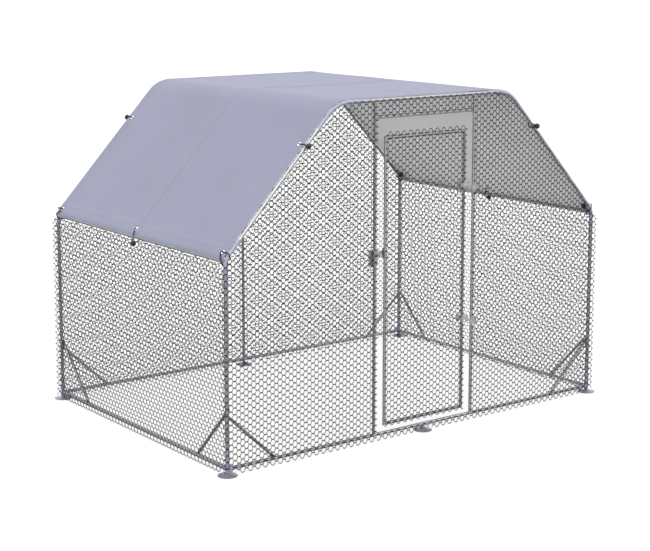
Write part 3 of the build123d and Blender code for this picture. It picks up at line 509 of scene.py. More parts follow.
def add_piece(name: str, mesh: bpy.types.Mesh, body: str) -> bpy.types.Object:
    """Add one finished piece to the scene.

    Args:
        name: name of the piece.
        mesh: its mesh, in place.
        body: the body that it rides on.

    Returns:
        The piece.
    """
    piece = placed(name, mesh)
    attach(piece, body)
    log.info("%s: %d faces, rides on %s", name, len(mesh.polygons), body)
    return piece


def strands(
    name: str, runs: list[list[Vector]], radius: float, corners: int, swells: list[list[float]] | None = None
) -> bpy.types.Mesh:
    """Thin round strands along runs of points, as one mesh.

    Args:
        name: name of the mesh.
        runs: points of each strand.
        radius: radius of the strands.
        corners: sides of their section.
        swells: share of the radius at each point, where it changes along a strand.

    Returns:
        The mesh.
    """
    section = bpy.data.curves.new("section", "CURVE")
    section.dimensions = "2D"
    ring = section.splines.new("POLY")
    ring.points.add(corners - 1)
    for point, turn in zip(ring.points, range(corners)):
        angle = 2 * math.pi * turn / corners
        point.co = (radius * math.cos(angle), radius * math.sin(angle), 0, 1)
    ring.use_cyclic_u = True
    section_object = placed("section", section)
    curve = bpy.data.curves.new(name, "CURVE")
    curve.dimensions = "3D"
    curve.bevel_mode = "OBJECT"
    curve.bevel_object = section_object
    curve.use_fill_caps = True
    for number, run in enumerate(runs):
        spline = curve.splines.new("POLY")
        spline.points.add(len(run) - 1)
        spline.points.foreach_set("co", [value for point in run for value in (*point, 1.0)])
        if swells:
            spline.points.foreach_set("radius", swells[number])
        spline.use_smooth = True
    return meshed(curve, [section_object])


def meshed(curve: bpy.types.Curve, helpers: list[bpy.types.Object]) -> bpy.types.Mesh:
    """Mesh of a curve, which is removed with its helpers.

    Args:
        curve: the curve.
        helpers: objects that it uses.

    Returns:
        The mesh.
    """
    name = curve.name
    holder = placed("holder", curve)
    mesh = evaluated(holder)
    mesh.name = name
    for item in (holder, *helpers):
        data = item.data
        bpy.data.objects.remove(item)
        bpy.data.curves.remove(data)
    return mesh


@dataclass(frozen=True)
class RunSizes:
    """Main sizes of the run between tube axes, in metres."""

    half_width: float
    half_depth: float
    top_height: float
    eave_tube_x: float
    eave_tube_height: float
    bottom_height: float
    half_doorway: float
    half_leaf: float
    header_height: float
    leaf_bottom: float
    leaf_top: float
    eave_height: float = 1.195
    half_top: float = 0.65
    bend_radius: float = 0.2

    @classmethod
    def read(cls) -> "RunSizes":
        """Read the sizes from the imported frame.

        Returns:
            The sizes.
        """
        post, top = centre_of("post_front_right"), centre_of("top_tube_front")
        eave, bottom = centre_of("eave_tube_right"), centre_of("bottom_tube_right")
        low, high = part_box("post_front_right")
        leaf_low, leaf_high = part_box("leaf_frame")
        radius = (high.x - low.x) / 2
        return cls(
            half_width=post.x,
            half_depth=-post.y,
            top_height=top.z,
            eave_tube_x=eave.x,
            eave_tube_height=eave.z,
            bottom_height=bottom.z,
            half_doorway=centre_of("door_post_right").x,
            half_leaf=leaf_high.x - radius,
            header_height=centre_of("door_header").z,
            leaf_bottom=leaf_low.z + radius,
            leaf_top=leaf_high.z - radius,
        )

    @property
    def slope_angle(self) -> float:
        """Angle of a slope above the level."""
        return math.atan2(self.top_height - self.eave_height, self.half_width - self.half_top)

    def up(self, side: int) -> Vector:
        """Direction up a slope, for the left (-1) or right (1) side."""
        return Vector((-side * math.cos(self.slope_angle), 0, math.sin(self.slope_angle)))

    def out(self, side: int) -> Vector:
        """Direction square out of a slope, for the left (-1) or right (1) side."""
        return Vector((side * math.sin(self.slope_angle), 0, math.cos(self.slope_angle)))

    def eave_corner(self, side: int, y: float) -> Vector:
        """Where the post and slope axes meet, on one side at one depth."""
        return Vector((side * self.half_width, y, self.eave_height))


@dataclass(frozen=True)
class TieSizes:
    """Places of the cover's ties, in metres."""

    slope_place: float = 0.775
    slope_inset: float = 0.045
    corner_place: float = 0.032
    corner_inset: float = 0.040
    corner_strand: float = 0.016
    eave_place: float = 0.030
    eave_skew: float = 0.033
    cord_radius: float = 0.003
    ball_room: float = 0.012


class WireWay(Enum):
    """Which way the wires of a sheet run: shares of the wire's radius in the twists and between them."""

    LEVEL = (1.42, 1.07)
    UPRIGHT = (0.8, 1.3)


# Places along a twist, as shares of its length, with the wire's turn there in degrees.
TWIST_TURNS = ((-0.5, 60), (0.0, 180), (0.5, 300))
# Places between two twists, as shares of the way along and of the way across.
SPAN_RISES = ((0.3, 0.2), (0.7, 0.8))


@dataclass(frozen=True)
class NetPanel:
    """One sheet of netting: how it stands, what it covers and where it is cut away.

    The outline and the cuts are convex rings of (along, across) points. Along is the way its wires run.
    """

    node: str
    body: str
    origin: Vector
    along: Vector
    across: Vector
    out: Vector
    outline: Ring
    cuts: list[Ring] = field(default_factory=list)
    way: WireWay = WireWay.LEVEL

    def place(self, along: float, across: float, out: float) -> Vector:
        """Point of the sheet in the shared frame."""
        return self.origin + self.along * along + self.across * across + self.out * out


def span_at(ring: Ring, across: float) -> Pair | None:
    """Stretch of a line across a convex ring.

    Args:
        ring: the ring.
        across: where the line lies.

    Returns:
        The ends of the stretch, or nothing where the line misses the ring.
    """
    hits = []
    for (a0, c0), (a1, c1) in zip(ring, ring[1:] + ring[:1]):
        if (c0 > across) != (c1 > across):
            hits.append(a0 + (a1 - a0) * (across - c0) / (c1 - c0))
    return (min(hits), max(hits)) if hits else None


def oblong(low_a: float, high_a: float, low_c: float, high_c: float) -> Ring:
    """Ring of an oblong between two pairs of limits."""
    return [(low_a, low_c), (high_a, low_c), (high_a, high_c), (low_a, high_c)]


@dataclass
class WireNetting:
    """Six-sided wire netting, made wire by wire: each wire turns round its two neighbours in turn.

    Overhangs are counted past a tube's axis. Room for a tie's strand is counted in radii of its cord.
    """

    run: RunSizes
    ties: TieSizes
    stand_off: float = 0.0154
    step: float = 0.0185
    column: float = 0.025
    twist: float = 0.012
    wire_radius: float = 0.0020
    wire_sides: int = 3
    lift_share: float = 0.65
    bottom: float = 0.004
    lowest: float = 0.006
    post_overhang: float = 0.036
    edge_overhang: float = -0.007
    rail_overhang: float = 0.003
    doorway_overhang: float = 0.012
    leaf_side_overhang: float = 0.008
    leaf_bottom_overhang: float = 0.012
    leaf_top_overhang: float = 0.036
    end_overhang: float = 0.011
    clamp_height: float = 0.03
    clamp_reach: float = 0.016
    clamp_margin: float = 0.003
    foot_reach: float = 0.058
    foot_bottom: float = -0.01
    foot_height: float = 0.017
    slope_tie_depth: float = 0.024
    corner_tie_depth: float = 0.026
    corner_tie_shift: float = 0.008
    gable_tie_height: float = 0.03
    gable_strand_room: int = 4
    eave_tie_depth: float = 0.042
    eave_tie_height: float = 0.01
    eave_strand_room: int = 3

    def wire(self, way: WireWay, index: int, low: float, high: float) -> list[WirePoint]:
        """Points of one wire between two places along it.

        Args:
            way: which way it runs.
            index: number of the wire, counted across the sheet.
            low: where it starts.
            high: where it ends.

        Returns:
            Points as (along, across, out, share of the radius).
        """
        points = []
        twisted, single = way.value
        length = self.column - self.twist
        for column in range(math.floor(low / self.column) - 1, math.ceil(high / self.column) + 1):
            rises = (index + column) % 2
            level = (index + rises) * self.step + self.lowest
            next_level = (index + 1 - rises) * self.step + self.lowest
            side = -1 if rises else 1
            for share, turn in TWIST_TURNS:
                angle = math.radians(turn)
                along = (column + share * self.twist / self.column) * self.column
                lift = side * self.wire_radius * twisted * self.lift_share
                points.append((along, level + lift * math.cos(angle), lift * math.sin(angle), twisted))
            start = column * self.column + self.twist / 2
            for share, rise in SPAN_RISES:
                points.append((start + length * share, level + (next_level - level) * rise, 0.0, single))
        return [point for point in points if low <= point[0] <= high]

    def spans(self, panel: NetPanel, across: float) -> list[Pair]:
        """Stretches of one wire that a sheet keeps.

        Args:
            panel: the sheet.
            across: where the wire lies.

        Returns:
            The ends of each stretch.
        """
        whole = span_at(panel.outline, across)
        kept = [whole] if whole else []
        for cut in panel.cuts:
            gap = span_at(cut, across)
            if gap:
                parts = [
                    part
                    for low, high in kept
                    for part in ((low, min(high, gap[0])), (max(low, gap[1]), high))
                ]
                kept = [part for part in parts if part[1] - part[0] > self.twist]
        return kept

    def build(self, panel: NetPanel, finish: bpy.types.Material) -> bpy.types.Object:
        """Make one sheet.

        Args:
            panel: the sheet.
            finish: material of the wire.

        Returns:
            The piece.
        """
        levels = [across for _, across in panel.outline]
        runs, swells = [], []
        first, last = (math.floor((level - self.lowest) / self.step) for level in (min(levels), max(levels)))
        for index in range(first, last + 1):
            for low, high in self.spans(panel, (index + 0.5) * self.step + self.lowest):
                points = self.wire(panel.way, index, low, high)
                if len(points) > 2:
                    runs.append([panel.place(*point[:3]) for point in points])
                    swells.append([point[3] for point in points])
        mesh = strands(f"wires_{panel.node}", runs, self.wire_radius, self.wire_sides, swells)
        mesh.materials.append(finish)
        piece = add_piece(f"netting_{panel.node.removeprefix('net_')}", mesh, panel.body)
        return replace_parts(piece, panel.node)

    def gable_outline(self, side: int, inner: float) -> Ring:
        """Half a gable: from a line near its middle out past the post, and up to the slope and the top.

        Args:
            side: left (-1) or right (1).
            inner: distance of the inner line from the middle.

        Returns:
            The ring, as (x, z).
        """
        run, edge = self.run, self.edge_overhang
        half_turn = run.slope_angle / 2
        up, out = run.up(1), run.out(1)
        edge_x = run.half_width + self.post_overhang
        top_z = run.top_height + edge
        on_slope = run.eave_corner(1, 0) + out * edge
        foot_z = on_slope.z + up.z * (edge_x - on_slope.x) / up.x
        corner_x = run.half_top + edge * math.tan(half_turn)
        bend = (run.bend_radius + edge) * math.tan(half_turn)
        crown = Vector((math.sin(half_turn), 0, math.cos(half_turn)))
        drop = run.bend_radius * (1 / math.cos(half_turn) - 1) - edge
        ridge = Vector((run.half_top, 0, run.top_height)) - crown * drop
        half = [
            (inner, self.bottom),
            (edge_x, self.bottom),
            (edge_x, foot_z),
            (corner_x + bend * math.cos(run.slope_angle), top_z - bend * math.sin(run.slope_angle)),
            (ridge.x, ridge.z),
            (corner_x - bend, top_z),
            (inner, top_z),
        ]
        return [(side * x, z) for x, z in half]

    def tie_cuts(self, side: int) -> list[Ring]:
        """Room round the ties of one slope in a gable's netting.

        Args:
            side: left (-1) or right (1).

        Returns:
            Rings, as (x, z).
        """
        run, ties = self.run, self.ties
        up, out = run.up(side), run.out(side)
        slope_tie = (ties.slope_place, ties.ball_room, self.slope_tie_depth)
        strand = ties.cord_radius * self.gable_strand_room
        corner_tie = (ties.corner_place - self.corner_tie_shift, strand, self.corner_tie_depth)
        cuts = []
        for place, half, depth in (slope_tie, corner_tie):
            middle = run.eave_corner(side, 0) + up * place
            room = oblong(-half, half, -depth, self.gable_tie_height)
            corners = [middle + up * a + out * b for a, b in room]
            cuts.append([(corner.x, corner.z) for corner in corners])
        return cuts

    def foot_cuts(self, places: list[float]) -> list[Ring]:
        """Room over the foot plates at places along a level wall."""
        reach, low, high = self.foot_reach, self.foot_bottom, self.foot_height
        return [oblong(place - reach, place + reach, low, high) for place in places]

    def clamp_cuts(self, x: float, node: str) -> list[Ring]:
        """Room over the two hinge clamps on one upright tube.

        Args:
            x: place of the tube.
            node: the clamps.

        Returns:
            Rings, as (x, z).
        """
        eyes_low, eyes_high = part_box("hinge_eyes")
        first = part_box(node)[0].z
        second = first + eyes_high.z - eyes_low.z - self.clamp_height
        reach, margin = self.clamp_reach, self.clamp_margin
        top = self.clamp_height + margin
        return [oblong(x - reach, x + reach, z - margin, z + top) for z in (first, second)]

    def panels(self) -> list[NetPanel]:
        """All the sheets of the run.

        Returns:
            The sheets.
        """
        run = self.run
        x, y, z = Vector((1, 0, 0)), Vector((0, 1, 0)), Vector((0, 0, 1))
        inner_front = run.half_doorway - self.doorway_overhang
        front_origin = y * -(run.half_depth + self.stand_off)
        rear_origin = y * (run.half_depth + self.stand_off)
        ends = {"front": (front_origin, -y, inner_front), "rear": (rear_origin, y, 0.0)}
        made = []
        for end, (origin, out, inner) in ends.items():
            for side, name in ((-1, "left"), (1, "right")):
                cuts = self.foot_cuts([side * run.half_width, 0.0]) + self.tie_cuts(side)
                if (end, side) == ("front", 1):
                    cuts += self.clamp_cuts(run.half_doorway, "hinge_pintles")
                outline = self.gable_outline(side, inner)
                made.append(NetPanel(f"net_{end}_{name}", "frame", origin, x, z, out, outline, cuts))
        low, high = run.header_height - self.rail_overhang, run.top_height + self.edge_overhang
        over = oblong(-inner_front, inner_front, low, high)
        made.append(NetPanel("net_over_door", "frame", front_origin, x, z, -y, over))
        sill = oblong(-inner_front, inner_front, self.bottom, run.bottom_height + self.rail_overhang)
        made.append(NetPanel("net_door_sill", "frame", front_origin, x, z, -y, sill, self.foot_cuts([0.0])))
        leaf_half = run.half_leaf + self.leaf_side_overhang
        low, high = run.leaf_bottom - self.leaf_bottom_overhang, run.leaf_top + self.leaf_top_overhang
        leaf = oblong(-leaf_half, leaf_half, low, high)
        leaf_cuts = self.clamp_cuts(run.half_leaf, "hinge_eyes")
        made.append(NetPanel("leaf_net", "door", front_origin, x, z, -y, leaf, leaf_cuts))
        side_top = run.eave_tube_height + self.edge_overhang
        low, high = run.eave_tube_height - self.eave_tie_depth, side_top + self.eave_tie_height
        half_end = run.half_depth + self.end_overhang
        strand, ball = self.ties.cord_radius * self.eave_strand_room, self.ties.ball_room
        far = run.half_depth - self.ties.corner_strand
        for side, name in ((-1, "left"), (1, "right")):
            outline = oblong(self.bottom, side_top, -half_end, half_end)
            feet = self.foot_cuts([-run.half_depth, run.half_depth])
            cuts = [[(up, place) for place, up in foot] for foot in feet]
            for middle, half in ((-far, strand), (side * self.ties.eave_skew, ball), (far, strand)):
                cuts.append(oblong(low, high, middle - half, middle + half))
            origin = x * (side * (run.half_width + self.stand_off))
            panel = NetPanel(f"net_{name}", "frame", origin, z, y, x * side, outline, cuts, WireWay.UPRIGHT)
            made.append(panel)
        return made

    def dress(self) -> None:
        """Make every sheet in the wire's finish."""
        finish = WIRE_FINISH.material()
        for panel in self.panels():
            self.build(panel, finish)


@dataclass
class RoofCover:
    """Cloth over both slopes and the flat top: one sheet, hemmed all round, with a seam across its middle.

    Its eave edges are tucked down round the elbows. Waves are radians in a metre, along and aslant.
    """

    run: RunSizes
    ties: TieSizes
    offset: float = 0.01275
    eave_drop: float = 0.0145
    tuck: float = 0.035
    tuck_radius: float = 0.05275
    end_inset: float = 0.002
    thickness: float = 0.0012
    hem_rise: float = 0.0012
    end_hem: float = 0.047
    eave_hem: float = 0.0755
    seam_half: float = 0.0085
    seam_rise: float = 0.0002
    hem_step: float = 0.0012
    eyelet_half: float = 0.0068
    sag: float = 0.009
    top_sag_share: float = 0.8
    ripple: float = 0.0009
    calm_edge: float = 0.15
    place_waves: Pair = (15.3, 2.1)
    depth_waves: Pair = (10.1, 0.6)
    spacing: float = 0.03
    tuck_parts: int = 6
    bend_parts: int = 8
    sharp_angle: float = 50.0
    stitch_pitch: float = 0.005
    stitch_length: float = 0.0034
    stitch_radius: float = 0.0004
    stitch_bed: float = 0.4
    stitch_sides: int = 3
    stitch_inset: float = 0.004
    stitch_end: float = 0.006
    seam_stitch: float = 0.0055

    @property
    def half_length(self) -> float:
        """Half the cover's length along the eaves."""
        return self.run.half_depth - self.end_inset

    @property
    def bend(self) -> float:
        """Radius of the cloth's middle over the top bends."""
        return self.run.bend_radius + self.offset

    @property
    def tangent(self) -> float:
        """Run of a bend along each of its straight sides."""
        return self.bend * math.tan(self.run.slope_angle / 2)

    @property
    def lengths(self) -> tuple[float, float, float]:
        """Lengths of the cloth's stretches.

        Returns:
            A slope's straight stretch, a bend and the flat top.
        """
        run = self.run
        overrun = self.offset * math.tan(run.slope_angle / 2)
        slope = math.hypot(run.half_width - run.half_top, run.top_height - run.eave_height)
        straight = slope + self.eave_drop + overrun - self.tangent
        top = 2 * (run.half_top + overrun - self.tangent)
        return straight, self.bend * run.slope_angle, top

    @property
    def width(self) -> float:
        """Width of the flat cloth, from eave to eave."""
        straight, bend, top = self.lengths
        return 2 * (straight + bend) + top

    def section(self, place: float) -> tuple[Vector, Vector]:
        """Point and outward direction on the cross-section.

        Args:
            place: distance from the left eave edge along the cloth.

        Returns:
            The point and the direction, at the middle of the run's depth.
        """
        side = -1 if place <= self.width / 2 else 1
        along = place if side < 0 else self.width - place
        straight, bend, _ = self.lengths
        run = self.run
        low = run.eave_corner(side, 0) - run.up(side) * self.eave_drop + run.out(side) * self.offset
        if along < self.tuck:
            turn = (self.tuck - along) / self.tuck_radius
            out = run.out(side) * math.cos(turn) - run.up(side) * math.sin(turn)
            return low + run.up(side) * self.tuck + (out - run.out(side)) * self.tuck_radius, out
        if along <= straight:
            return low + run.up(side) * along, run.out(side)
        centre = low + run.up(side) * straight - run.out(side) * self.bend
        left = run.slope_angle - min(along - straight, bend) / self.bend
        out = Vector((side * math.sin(left), 0, math.cos(left)))
        beyond = max(along - straight - bend, 0.0)
        return centre + out * self.bend + Vector((-side * beyond, 0, 0)), out

    @staticmethod
    def wave(along: float, aside: float, counts: Pair) -> float:
        """Height of a wave that runs one way, and slightly aslant."""
        return math.sin(along * counts[0] + counts[1] * aside)

    def relief(self, place: float, depth: float) -> float:
        """How far the cloth lies out of its smooth section.

        Args:
            place: distance from the left eave edge.
            depth: place along the eaves.

        Returns:
            The distance, outwards.
        """
        straight, bend, top = self.lengths
        along = min(place, self.width - place)
        open_share = (1 - (depth / self.half_length) ** 2) ** 2
        if along <= straight:
            hollow = math.sin(math.pi * along / straight)
        else:
            hollow = self.top_sag_share * math.sin(math.pi * max(along - straight - bend, 0.0) / top)
        waves = self.wave(place, depth, self.place_waves) * self.wave(depth, place, self.depth_waves)
        edge = min(self.half_length - abs(depth), along)
        lie = -self.sag * open_share * hollow + self.ripple * waves * min(1.0, edge / self.calm_edge)
        hemmed = abs(depth) > self.half_length - self.end_hem or along < self.eave_hem
        seamed = abs(depth) < self.seam_half
        return lie + (self.hem_rise if hemmed else self.seam_rise if seamed else 0.0)

    def surface(self, place: float, depth: float, lift: float = 0.0) -> Vector:
        """Point of the cloth, at a distance from the left eave edge and along the eaves, lifted outwards."""
        point, out = self.section(place)
        return point + out * (self.relief(place, depth) + lift) + Vector((0, depth, 0))

    def filled(self, keys: list[float]) -> list[float]:
        """Grid lines through the given places.

        Args:
            keys: places that have a line.

        Returns:
            All the lines, with more between the given ones where they are far apart.
        """
        keys = sorted(keys)
        lines = [keys[0]]
        for low, high in zip(keys, keys[1:]):
            parts = max(1, math.ceil((high - low) / self.spacing))
            lines.extend(low + (high - low) * part / parts for part in range(1, parts + 1))
        return lines

    def lines(self) -> tuple[list[float], list[float]]:
        """Grid lines of the flat cloth.

        Returns:
            Places from the left eave edge, and places along the eaves.
        """
        half, step = self.eyelet_half, self.hem_step
        straight, bend, _ = self.lengths
        slope = self.ties.slope_place + self.eave_drop
        corner = self.ties.corner_place + self.eave_drop
        near = [0.0, corner - half, corner + half, corner + 3 * half, slope - half, slope + half]
        near += [self.eave_hem - step, self.eave_hem + step]
        near += [self.tuck * part / self.tuck_parts for part in range(1, self.tuck_parts + 1)]
        near += [straight + bend * part / self.bend_parts for part in range(self.bend_parts + 1)]
        places = near + [self.width - place for place in near]
        hem = self.half_length - self.end_hem
        ends = [self.half_length, hem - step, hem + step]
        for inset in (self.ties.slope_inset, self.ties.corner_inset):
            ends += [self.run.half_depth - inset - half, self.run.half_depth - inset + half]
        ends += [half, self.seam_half - step / 2, self.seam_half + step / 2]
        return self.filled(places), self.filled(ends + [-end for end in ends])

    def eyelet_places(self) -> list[Pair]:
        """Where the eyelets are on the flat cloth.

        Returns:
            Their middles.
        """
        depth, ties, made = self.run.half_depth, self.ties, []
        for along, inset in ((ties.slope_place, ties.slope_inset), (ties.corner_place, ties.corner_inset)):
            made += [(along + self.eave_drop, end * (depth - inset)) for end in (-1, 1)]
        made.append((ties.eave_place + self.eave_drop, 0.0))
        return made + [(self.width - place, end) for place, end in made]

    def sheet_mesh(self) -> bpy.types.Mesh:
        """Grid of the cloth, bent to its section, with a map of the flat cloth and holes at the eyelets.

        Returns:
            The mesh, without thickness.
        """
        places, depths = self.lines()
        grid = bmesh.new()
        bmesh.ops.create_grid(grid, x_segments=len(places) - 1, y_segments=len(depths) - 1, size=0.5)
        marks = {v: (round(v.co.x, GRID_DIGITS), round(v.co.y, GRID_DIGITS)) for v in grid.verts}
        columns = dict(zip(sorted({column for column, _ in marks.values()}), places))
        rows = dict(zip(sorted({row for _, row in marks.values()}), depths))
        flat = {v: (columns[column], rows[row]) for v, (column, row) in marks.items()}
        layer = grid.loops.layers.uv.new(FLAT_MAP)
        for face in grid.faces:
            face.smooth = True
            for loop in face.loops:
                loop[layer].uv = flat[loop.vert]
        holes, reach = [], self.eyelet_half / 2
        for place, depth in self.eyelet_places():
            for face in grid.faces:
                middle = [sum(flat[v][axis] for v in face.verts) / len(face.verts) for axis in (0, 1)]
                if abs(middle[0] - place) < reach and abs(middle[1] - depth) < reach:
                    holes.append(face)
        for vert, (place, depth) in flat.items():
            vert.co = self.surface(place, depth)
        bmesh.ops.delete(grid, geom=holes, context="FACES")
        bmesh.ops.recalc_face_normals(grid, faces=grid.faces)
        if max(grid.faces, key=lambda face: face.calc_center_median().z).normal.z < 0:
            bmesh.ops.reverse_faces(grid, faces=grid.faces)
        mesh = bpy.data.meshes.new("cover_sheet")
        grid.to_mesh(mesh)
        grid.free()
        return mesh

    def stitch_row(self, start: Pair, end: Pair) -> list[list[Vector]]:
        """One row of thread between two places on the flat cloth.

        Args:
            start: where it starts.
            end: where it ends.

        Returns:
            The points of each stitch.
        """
        lift = self.thickness / 2 + self.stitch_radius * self.stitch_bed
        length = math.hypot(end[0] - start[0], end[1] - start[1])
        heading = ((end[0] - start[0]) / length, (end[1] - start[1]) / length)
        made = []
        for number in range(int(length / self.stitch_pitch)):
            first = number * self.stitch_pitch
            middle, last = first + self.stitch_length / 2, first + self.stitch_length
            made.append(
                [
                    self.surface(start[0] + heading[0] * mark, start[1] + heading[1] * mark, lift + rise)
                    for mark, rise in ((first, 0.0), (middle, self.stitch_radius), (last, 0.0))
                ]
            )
        return made

    def stitches(self) -> bpy.types.Mesh:
        """Rows of thread along the hems and both sides of the seam.

        Returns:
            The mesh.
        """
        hem, inset = self.half_length - self.end_hem + self.stitch_inset, self.eave_hem - self.stitch_inset
        edge, seam = self.stitch_end, self.seam_stitch
        runs = []
        for end in (-1, 1):
            runs += self.stitch_row((edge, end * hem), (self.width - edge, end * hem))
            runs += self.stitch_row((self.eave_hem, end * seam), (self.width - self.eave_hem, end * seam))
        for place in (inset, self.width - inset):
            runs += self.stitch_row((place, -self.half_length + edge), (place, self.half_length - edge))
        return strands("cover_stitches", runs, self.stitch_radius, self.stitch_sides)

    def build(self) -> tuple[bpy.types.Object, bpy.types.Object]:
        """Make the cover and its stitching.

        Returns:
            The cover and the stitching.
        """
        holder = placed("holder", self.sheet_mesh())
        for side in (OUTER_CLOTH, INNER_CLOTH):
            holder.data.materials.append(side.material())
        wall = holder.modifiers.new("wall", "SOLIDIFY")
        wall.thickness = self.thickness
        wall.offset = 0.0
        wall.material_offset = 1
        mesh = evaluated(holder)
        mesh.set_sharp_from_angle(angle=math.radians(self.sharp_angle))
        bpy.data.objects.remove(holder)
        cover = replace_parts(add_piece("roof_cover_cloth", mesh, "frame"), "roof_cover")
        thread = self.stitches()
        thread.materials.append(bpy.data.materials["cover_cloth_outside"])
        return cover, add_piece("roof_cover_stitching", thread, "frame")

    def dress(self) -> None:
        """Make the cover, and log the size that its cloth is cut to."""
        cover, thread = self.build()
        tubes = [f"slope_tube_{end}_{side}" for end in ("front", "rear") for side in ("left", "right")]
        tubes += ["top_tube_front", "top_tube_rear", "ridge_tube_left", "ridge_tube_right"]
        flat = (self.width, 2 * self.half_length)
        log.info("cover cut to %.3f by %.3f m", *flat)


class TieKind(Enum):
    """Where a tie holds the cover: points of its loop, in millimetres.

    At a gable they are counted up the slope from the eyelet, in from the gable and square out of the slope.
    At the eave they are counted outwards from the tube, along it and upwards.
    """

    SLOPE = (
        (0, -22, 9), (0, -8, 17.5), (0, 18, 17.6), (0, 36, 18), (0, 46, 19.5), (0, 45.5, 11), (0, 44, 1),
        (0, 36, -6), (0, 14, -15), (0, -8, -15.5), (0, -22, -1),
    )
    CORNER = (
        (0, 36.5, 2), (0, 36.5, 7), (0, 36.5, 25.8), (0, 25, 19.9), (0, 20.5, 17.5), (0, 10.5, 17.5),
        (0, -16, 17.5), (-9, -16, -3), (-16, -16, -19), (-17.7, 2.4, -23.6), (-19, 16, -27), (-32, 16, -32),
        (-42, 16, -36), (-50, 16, -29), (-56.8, 16, -23.2), (-56, 16, -12), (-55.4, 16, -1.4),
        (-50.8, 16, 6.8), (-44, 16, 18.5), (-36.3, 24.8, 18.2), (-25.3, 37.4, 17.7), (-20, 43.5, 17.5),
        (-13.8, 43.5, 20), (0, 43.5, 25.8), (0, 43.5, 8), (0, 43.5, 2),
    )
    EAVE = (
        (35.3, -32.3, -20), (34.8, -29, -5), (31, -25, 12.5), (20, -15, 29), (6, -4.5, 44.5), (-0.5, 0, 52),
        (-6.7, 0, 45.6), (-15.5, 0, 37.4), (-19.5, -5.5, 24), (-20.5, -15.5, 4), (-16, -23, -10.5),
        (-2, -31, -20.5), (14, -33.3, -24), (28, -33, -27),
    )


@dataclass
class ElasticTies:
    """Elastic loops that go from a ball, through an eyelet and round a tube, back to the ball."""

    run: RunSizes
    ties: TieSizes
    smoothness: int = 8
    roundness: int = 4

    def loop(self, kind: TieKind, origin: Vector, axes: tuple[Vector, Vector, Vector]) -> list[Vector]:
        """Points of one loop.

        Args:
            kind: where it holds the cover.
            origin: point that its places are counted from.
            axes: directions of the three counts.

        Returns:
            The points.
        """
        return [
            origin + sum((axis * (count / 1000) for axis, count in zip(axes, counts)), Vector())
            for counts in kind.value
        ]

    def loops(self) -> list[list[Vector]]:
        """Points of every loop of the cover.

        Returns:
            The points of each loop.
        """
        run, made = self.run, []
        for side in (-1, 1):
            up, out = run.up(side), run.out(side)
            for end in (-1, 1):
                corner, axes = run.eave_corner(side, end * run.half_depth), (up, Vector((0, -end, 0)), out)
                made.append(self.loop(TieKind.SLOPE, corner + up * self.ties.slope_place, axes))
                made.append(self.loop(TieKind.CORNER, corner + up * self.ties.corner_place, axes))
            eave = Vector((side * run.eave_tube_x, 0, run.eave_tube_height))
            axes = (Vector((side, 0, 0)), Vector((0, -side, 0)), Vector((0, 0, 1)))
            made.append(self.loop(TieKind.EAVE, eave, axes))
        return made

    def build(self) -> bpy.types.Object:
        """Make all the loops as one piece.

        Returns:
            The piece.
        """
        curve = bpy.data.curves.new("elastic_loops", "CURVE")
        curve.dimensions = "3D"
        curve.bevel_depth = self.ties.cord_radius
        curve.bevel_resolution = self.roundness
        curve.use_fill_caps = True
        curve.resolution_u = self.smoothness
        for points in self.loops():
            spline = curve.splines.new("NURBS")
            spline.points.add(len(points) - 1)
            for target, point in zip(spline.points, points):
                target.co = (*point, 1.0)
            spline.order_u = 3
            spline.use_endpoint_u = True
        piece = add_piece("elastic_loops", meshed(curve, []), "frame")
        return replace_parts(piece, "tie_cords")

    def dress(self) -> None:
        """Make the loops in the cord's finish."""
        piece = self.build()
        piece.data.materials.append(CORD_FINISH.material())


@dataclass
class TubeFrame:
    """Tubes, connectors, screws, door and fittings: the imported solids, each in its finish.

    A finish has the name of its slot in the record.
    """

    finishes: tuple[ZincSteel | CoatedSteel | MouldedPlastic, ...] = (
        TUBE_FINISH,
        CONNECTOR_FINISH,
        SCREW_FINISH,
        FITTING_FINISH,
        EYELET_FINISH,
        BALL_FINISH,
    )

    def dress(self) -> None:
        """Give each shown solid the finish of its slot in the record."""
        made = {finish.name: finish.material() for finish in self.finishes}
        for part in frame["record"]["subparts"]:
            slot = part["material_slot"]
            if slot not in made:
                continue
            solid = frame["nodes"][part["node"]]
            for holder in solid.material_slots:
                holder.material = made[slot]
            log.info("%s: %s", part["node"], slot)


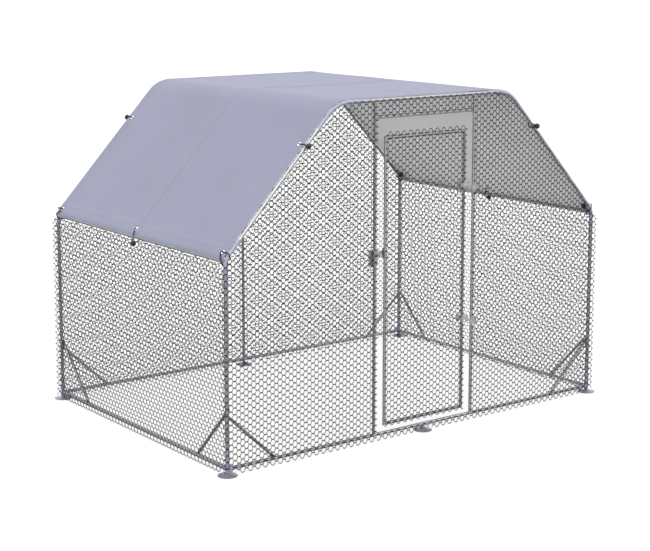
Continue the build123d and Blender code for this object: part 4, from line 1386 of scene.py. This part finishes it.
@dataclass
class Studio:
    """Pale floor, soft light and the camera."""

    floor_half: float = 200.0
    floor_cells: int = 8
    sky: float = 3.0
    sun: float = 0.8
    sun_angle: float = 60.0
    sun_heading: Point = (0.5, 0.75, -0.8)
    lamp_place: Point = (-6.0, -6.5, 4.5)
    lamp_target: Point = (0.0, 0.0, 0.9)
    lamp_size: float = 2.0
    lamp_power: float = 40.0
    eye: Point = (-5.855, -7.758, 2.777)
    yaw: float = -36.98
    pitch: float = 9.40
    focal_pixels: float = 1559.9
    shift_pixels: float = 60.0
    frame_width: float = 650.0
    sensor_width: float = 36.0

    def floor(self) -> None:
        """Lay the floor."""
        plane = bmesh.new()
        cells = self.floor_cells
        bmesh.ops.create_grid(plane, x_segments=cells, y_segments=cells, size=self.floor_half)
        mesh = bpy.data.meshes.new("floor")
        plane.to_mesh(mesh)
        plane.free()
        mesh.materials.append(FLOOR_FINISH.material())
        placed("floor", mesh)

    def hang(self, light: bpy.types.Light, place: Vector, heading: Vector) -> bpy.types.Object:
        """Hang one light.

        Args:
            light: the light.
            place: where it hangs.
            heading: which way it shines.

        Returns:
            The light's object.
        """
        holder = placed(light.name, light)
        holder.location = place
        holder.rotation_euler = heading.to_track_quat("-Z", "Y").to_euler()
        return holder

    def lights(self) -> None:
        """Set the sky, the soft sun and a square soft lamp, which the camera doesn't see."""
        world = bpy.data.worlds.new("studio")
        world.use_nodes = True
        background = world.node_tree.nodes["Background"]
        background.inputs["Color"].default_value = (1.0, 1.0, 1.0, 1.0)
        background.inputs["Strength"].default_value = self.sky
        bpy.context.scene.world = world
        sun = bpy.data.lights.new("sun", "SUN")
        sun.energy = self.sun
        sun.angle = math.radians(self.sun_angle)
        self.hang(sun, Vector(), Vector(self.sun_heading))
        lamp = bpy.data.lights.new("front_left", "AREA")
        lamp.size = self.lamp_size
        lamp.energy = self.lamp_power
        place = Vector(self.lamp_place)
        self.hang(lamp, place, Vector(self.lamp_target) - place).visible_camera = False

    def camera(self) -> None:
        """Place the camera."""
        yaw, pitch = math.radians(self.yaw), math.radians(self.pitch)
        level = math.cos(pitch)
        ahead = Vector((-math.sin(yaw) * level, math.cos(yaw) * level, -math.sin(pitch)))
        lens = bpy.data.cameras.new("camera")
        lens.sensor_width = self.sensor_width
        lens.lens = self.focal_pixels / self.frame_width * lens.sensor_width
        lens.shift_y = -self.shift_pixels / self.frame_width
        holder = placed("camera", lens)
        turn = ahead.to_track_quat("-Z", "Y").to_matrix().to_4x4()
        holder.matrix_world = Matrix.Translation(self.eye) @ turn
        bpy.context.scene.camera = holder

    def dress(self) -> None:
        """Set up the studio."""
        bpy.context.scene.view_settings.view_transform = "Standard"
        self.floor()
        self.lights()
        self.camera()


def main() -> None:
    """Build and dress every part of the run."""
    logging.basicConfig(level=logging.INFO, format="%(name)s %(message)s")
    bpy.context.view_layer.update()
    run, ties = RunSizes.read(), TieSizes()
    for part in (Studio(), TubeFrame(), WireNetting(run, ties), RoofCover(run, ties), ElasticTies(run, ties)):
        part.dress()


if __name__ == "__main__":
    main()
